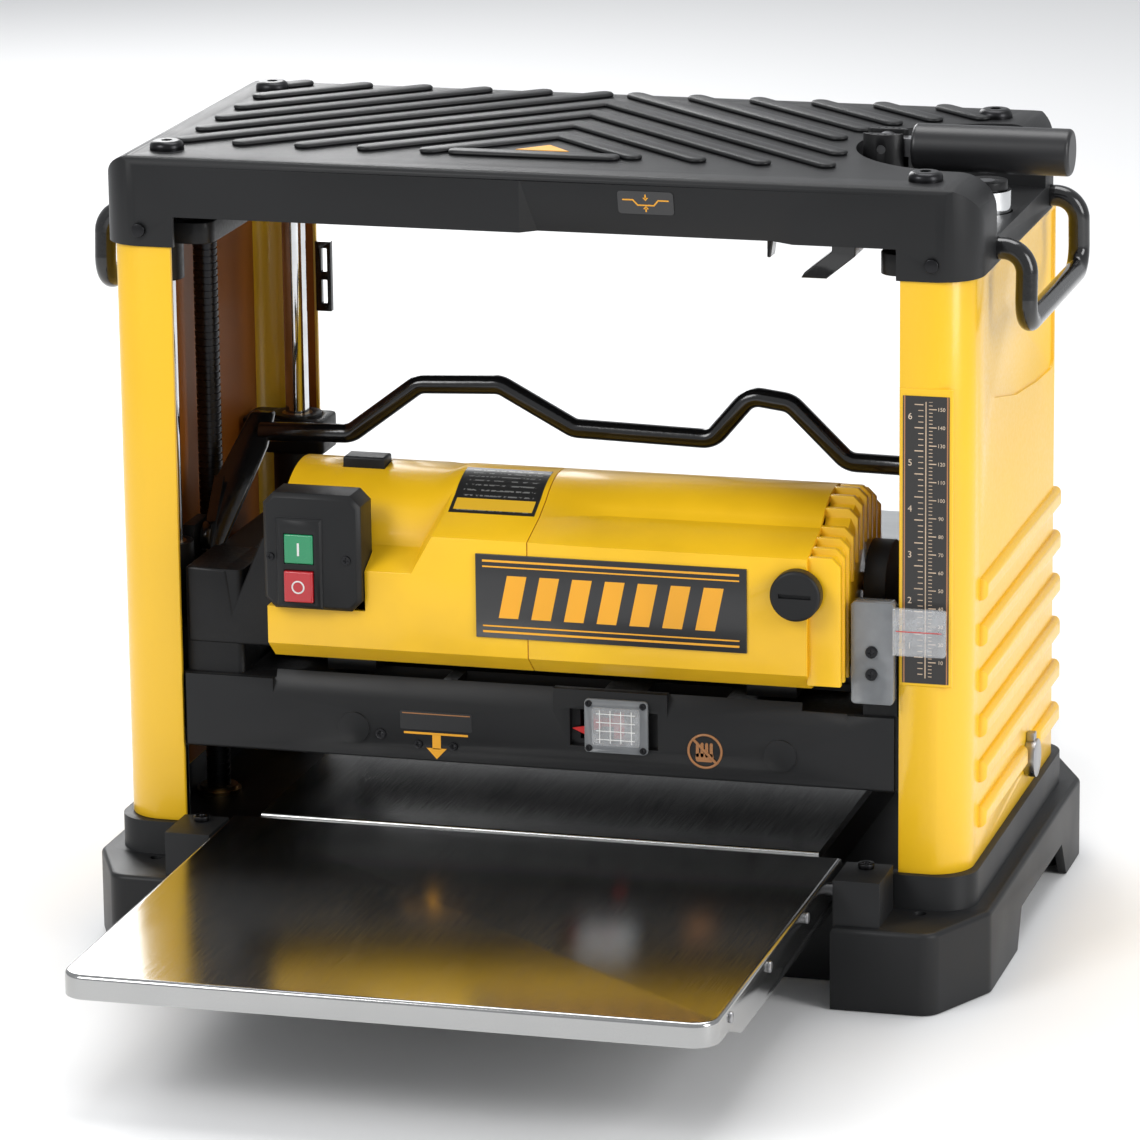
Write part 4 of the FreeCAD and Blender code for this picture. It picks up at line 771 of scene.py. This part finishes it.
heads = [screwHead(-99, -155.6, 229, 2.6), screwHead(-142.6, -155.6, 229, 2.2)]
finishPiece(merge(heads), "switchScrews", "carriage", "dark_screw")
print("switch made")

# front band: bevelled upper edge, printed marks, gauge window
band = {"face": -132.0, "bevelLow": 144.0, "bevelHigh": 157.6, "bevelBack": -125.6,
        "bevels": ((-151.0, 10.6), (75.3, 176.0)), "sticker": (-77.3, -36.0, 128.2, 138.7),
        "stickerRule": (-76.0, -37.0, 137.2, 137.8), "arrowBar": (-75.2, -38.3, 125.6, 126.8),
        "arrowStem": (-58.8, -54.0, 117.5, 125.7), "arrowHead": [(-62.2, 118), (-56.4, 111.8), (-50.6, 118)],
        "screws": ((-88.5, 124.4, 3.0), (-66.8, 119.8, 2.4), (-46.6, 119.6, 2.4))}
frontBand = rawCopy("front_cover")
wedge = [(-141, band["bevelLow"]), (band["face"], band["bevelLow"]),
         (band["bevelBack"], band["bevelHigh"]), (-141, band["bevelHigh"])]
carve(frontBand, [plate(wedge, "x", x0, x1 - x0) for x0, x1 in band["bevels"]])
soften(frontBand, 0.7, 2, 40)
finishPiece(frontBand, "frontBand", "carriage", "black_moulding")
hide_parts("front_cover")
sticker = plate(roundedCorners(*band["sticker"], 0.8), "y", band["face"] - 0.25, 0.4)
finishPiece(sticker, "depthSticker", "carriage", "badge_print")


def printedBar(outline, near=0.25, far=0.1):
    # a thin bar (left, right, low, high) on the band's face
    x0, x1, z0, z1 = outline
    return block((x0, band["face"] - near, z0), (x1, band["face"] + far, z1))


rule = printedBar(band["stickerRule"], 0.4, -0.1)
finishPiece(rule, "stickerRule", "carriage", "badge_print", extra["copperMark"])
arrow = [printedBar(band["arrowBar"]), printedBar(band["arrowStem"]),
         plate(band["arrowHead"], "y", band["face"] - 0.25, 0.35)]
finishPiece(merge(arrow), "depthArrow", "carriage", "badge_print", extra["strip"])
sign = {"centre": (96.6, 126.6), "radius": 9.3, "slash": 1.3, "bars": 4, "firstBar": 92.4, "barStep": 2.6,
        "barEnds": (124.0, 130.6), "barWidth": 1.7, "block": (91.4, 101.4, 120.6, 125.4)}
x, z = sign["centre"]
reach = sign["radius"] * math.sqrt(0.5)
symbol = [flatRing(sign["radius"], 0.7, (x, band["face"] - 0.1, z), 48)]
slash = wideLine([(x - reach, z + reach), (x + reach, z - reach)], sign["slash"])
symbol.append(plate(slash, "y", band["face"] - 0.6, 0.6))
for i in range(sign["bars"]):
    place = sign["firstBar"] + sign["barStep"] * i
    outline = wideLine([(place, height) for height in sign["barEnds"]], sign["barWidth"])
    symbol.append(plate(outline, "y", band["face"] - 0.35, 0.4))
symbol.append(plate(roundedCorners(*sign["block"], 1.5), "y", band["face"] - 0.35, 0.4))
finishPiece(merge(symbol), "ringSymbol", "carriage", "badge_print", extra["copperMark"])
bandScrews = [screwHead(x, band["face"], z, radius, 1.0) for x, z, radius in band["screws"]]
finishPiece(merge(bandScrews), "bandScrews", "carriage", "dark_screw")

window = {"x": (29.0, 65.0), "z": (122.5, 153.0), "face": -134.6, "rim": 5.0, "paneRim": 4.4, "lines": 4,
          "screwIn": 2.6, "needle": [(21.0, 134.6), (30.0, 130.6), (32.0, 130.6), (32.0, 136.4), (30.0, 136.4)]}
x0, x1 = window["x"]
z0, z1 = window["z"]
frameRing = plate(roundedCorners(x0, x1, z0, z1, 2.5), "y", window["face"], 2.6)
rim = window["rim"]
carve(frameRing, [block((x0 + rim, -140, z0 + rim), (x1 - rim, -130, z1 - rim))])
soften(frameRing, 0.5, 2, 40)
finishPiece(frameRing, "gaugeFrame", "carriage", "clear_lens", finishes["smoke_lens"])
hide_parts("gauge_window")
rim = window["paneRim"]
pane = plate(roundedCorners(x0 + rim, x1 - rim, z0 + rim, z1 - rim, 1.5), "y", window["face"] - 0.9, 1.6)
soften(pane, 0.4, 2, 40)
finishPiece(pane, "gaugePane", "carriage", "clear_lens")
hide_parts("gauge_window")
grid = []
for i in range(window["lines"]):
    x = x0 + 9 + (x1 - x0 - 18) * i / (window["lines"] - 1)
    grid.append(block((x - 0.2, window["face"] - 1.05, z0 + 6), (x + 0.2, window["face"] - 0.85, z1 - 6)))
    z = z0 + 8 + (z1 - z0 - 16) * i / (window["lines"] - 1)
    grid.append(block((x0 + 7, window["face"] - 1.07, z - 0.2), (x1 - 7, window["face"] - 0.87, z + 0.2)))
finishPiece(merge(grid), "gaugeGrid", "carriage", "clear_lens", extra["white"])
inward = window["screwIn"]
corners = [(x, z) for x in (x0 + inward, x1 - inward) for z in (z0 + inward, z1 - inward)]
heads = [screwHead(x, window["face"], z, 1.9, 0.9) for x, z in corners]
finishPiece(merge(heads), "gaugeScrews", "carriage", "dark_screw")
needle = plate(window["needle"], "y", -131.2, 1.6)
soften(needle, 0.3, 1, 40)
finishPiece(needle, "redNeedle", "gauge", "red_pointer")
print("front band made")

# depth scale: copper edges, two columns of ticks and their numbers
scale = {
    "x": (206.6, 232.0), "z": (173.0, 332.0), "face": -132.3, "edge": (11.4, 12.1),
    "spine": (12.3, 12.9), "inked": (176, 329),
    # step between ticks, half a tick's thickness, left and right end
    "ticks": [(3.175, 0.22, 8.4, 11.2), (12.7, 0.3, 6.4, 11.2), (2.0, 0.2, 14.2, 16.2), (10.0, 0.28, 14.2, 18.4)],
    # how many, step, first height, place across, size of the figures, value of a step
    "figures": [(6, 25.4, 18.7, 4.0, 5.0, 1), (15, 10.0, 10.0, 21.0, 2.9, 10)],
}
scalePaint = Paint("scaleFace", baseColor=rgb(0.012, 0.010, 0.009), roughness=0.3, coatWeight=0.3,
                   coatRoughness=0.1)
across, _, up = scalePaint.axes()
height = up - mm(scale["z"][0] + 2.0)
edges = (across - mm(sum(scale["x"]) / 2)).absolute().within(*(mm(v) for v in scale["edge"]))
left = across - mm(scale["x"][0])
ticks = 0.0
for step, half, start, end in scale["ticks"]:
    ticks = (height.repeat(mm(step)) < mm(half)) * left.within(mm(start), mm(end)) + ticks
spine = left.within(*(mm(v) for v in scale["spine"])) * 0.9
inked = ((ticks + spine) * up.within(*(mm(v) for v in scale["inked"]))).clamped()
worn = scalePaint.noise(60.0, 3.0).spread(0.3, 0.6, 0.75, 1.0)
base = scalePaint.blend(edges, rgb(0.012, 0.010, 0.009), rgb(0.40, 0.17, 0.06))
scalePaint.feed(baseColor=scalePaint.blend(inked * worn, base, rgb(0.62, 0.46, 0.32)))
softCopy("depth_scale", "depthScaleFoil", 0.1, 1, scalePaint.material)
numbers = []


def numeral(text, x, z, size):
    nothingSelected()
    bpy.ops.object.text_add(location=mm(x, scale["face"] - 0.12, z), rotation=(math.pi / 2, 0, 0))
    words = bpy.context.object
    words.data.body = text
    words.data.size = mm(size)
    words.data.align_x = "CENTER"
    words.data.align_y = "CENTER"
    words.data.extrude = mm(0.08)
    words.data.resolution_u = 3
    bpy.ops.object.convert(target="MESH")
    return bpy.context.object


zero = scale["z"][0] + 2.0
for count, step, first, across, size, value in scale["figures"]:
    for i in range(count):
        numbers.append(numeral(str(value * (i + 1)), scale["x"][0] + across, zero + first + step * i, size))
finishPiece(merge(numbers), "scaleNumbers", "frame", "scale_print", extra["paleInk"])
holderScrews = [screwHead(191, -138, z, 3.3, 1.6) for z in (190.5, 178.0)]
finishPiece(merge(holderScrews), "holderScrews", "carriage", "dark_screw")
softCopy("pointer_lens", "readingLens", 0.4, 2)
hairline = block((205, -141.3, 203.6), (230, -141.0, 204.0))
finishPiece(hairline, "readingLine", "carriage", "clear_lens", finishes["red_pointer"])
print("scale made")

# carriage's left end: a black end wall beside the motor and a strap to the lock bar
leftEnd = {
    "wall": [(-203, 168), (-149, 168), (-149, 231), (-158, 231), (-176, 189), (-179, 211), (-203, 212)],
    "strap": [(-214, 207), (-201, 207), (-188, 256), (-188, 273), (-202, 273), (-214, 240)],
    "cutAway": ((-221, -40, 224), (-194, 10, 290)), "pivot": 212, "lean": 0.9,
    "boss": (-236, -186, 76, 106), "bossFoot": 228, "bossTall": 20.5, "postHole": (-206, 91, 220),
}
endWall = plate(leftEnd["wall"], "y", -124.6, 50)
soften(endWall, 2.0, 3, 30)
finishPiece(endWall, "motorEndWall", "carriage", "black_casting")
bar = rawCopy("lock_bar")
carve(bar, [block(*leftEnd["cutAway"])])
soften(bar, 0.5, 2, 40)
strap = plate(leftEnd["strap"], "y", -63, 6)
for vertex in strap.data.vertices:
    vertex.co.y += (vertex.co.z - mm(leftEnd["pivot"])) * leftEnd["lean"]
soften(strap, 1.4, 3, 30)
finishPiece(merge([bar, strap]), "lockBar", "lock", "black_steel")
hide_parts("lock_bar")
rearBoss = plate(roundedCorners(*leftEnd["boss"], 4), "z", leftEnd["bossFoot"], leftEnd["bossTall"])
carve(rearBoss, [disc(14.0, leftEnd["postHole"], 40, "z")])
soften(rearBoss, 1.5, 2, 40)
finishPiece(rearBoss, "rearLeftBoss", "carriage", "black_casting")

# thin darker-yellow sheets on the inner walls of the two columns: painted shade, the panel yellow as it looks in
# the columns' shade
shadeSheet = {"wall": 238.9, "flange": 127.9, "thick": 0.4, "inner": 206.0, "outer": 225.9, "depth": 118.0,
         "low": 66.0, "high": 392.0, "stopHole": (38, 84)}
walls = []
for side in (-1, 1):
    near, far = sorted((side * (shadeSheet["wall"] - shadeSheet["thick"]), side * shadeSheet["wall"]))
    skin = block((near, -shadeSheet["depth"], shadeSheet["low"]), (far, shadeSheet["depth"], shadeSheet["high"]))
    carve(skin, [disc(5.0, (side * shadeSheet["wall"] - 2, *shadeSheet["stopHole"]), 4, "x")])
    near, far = sorted((side * shadeSheet["inner"], side * shadeSheet["outer"]))
    back = block((near, shadeSheet["flange"] - shadeSheet["thick"], shadeSheet["low"]),
                 (far, shadeSheet["flange"], shadeSheet["high"]))
    walls += [skin, back]
finishPiece(merge(walls), "columnShadeSheets", "frame", "yellow_panel", extra["paintedShadeYellow"])
# the left lead screw alone takes the black screw finish, the right one stays machined steel: painted shade for
# the screw inside the left column
nodes["left_lead_screw"].data.materials[0] = finishes["dark_screw"]

# side pins of the front table
pins = []
tablePins = {"radius": 3.0, "x": 174.3, "rise": 1.6, "places": ((-222, 65.5), (-307, 66), (-391, 66.5))}
for place in tablePins["places"]:
    pin = disc(tablePins["radius"], (tablePins["x"], *place), tablePins["rise"], "x", 24)
    soften(pin, 0.5, 2, 40)
    pins.append(pin)
finishPiece(merge(pins), "tablePins", "front_table", "machine_steel")
print("left end and table made")

# floor
nothingSelected()
bpy.ops.mesh.primitive_plane_add(size=14.0, location=(0, 0, -0.0005))
floor = bpy.context.object
floor.name = "studioFloor"
floorPaint = Paint("paleFloor", baseColor=rgb(0.86, 0.86, 0.86), roughness=0.6)
floor.data.materials.append(floorPaint.material)
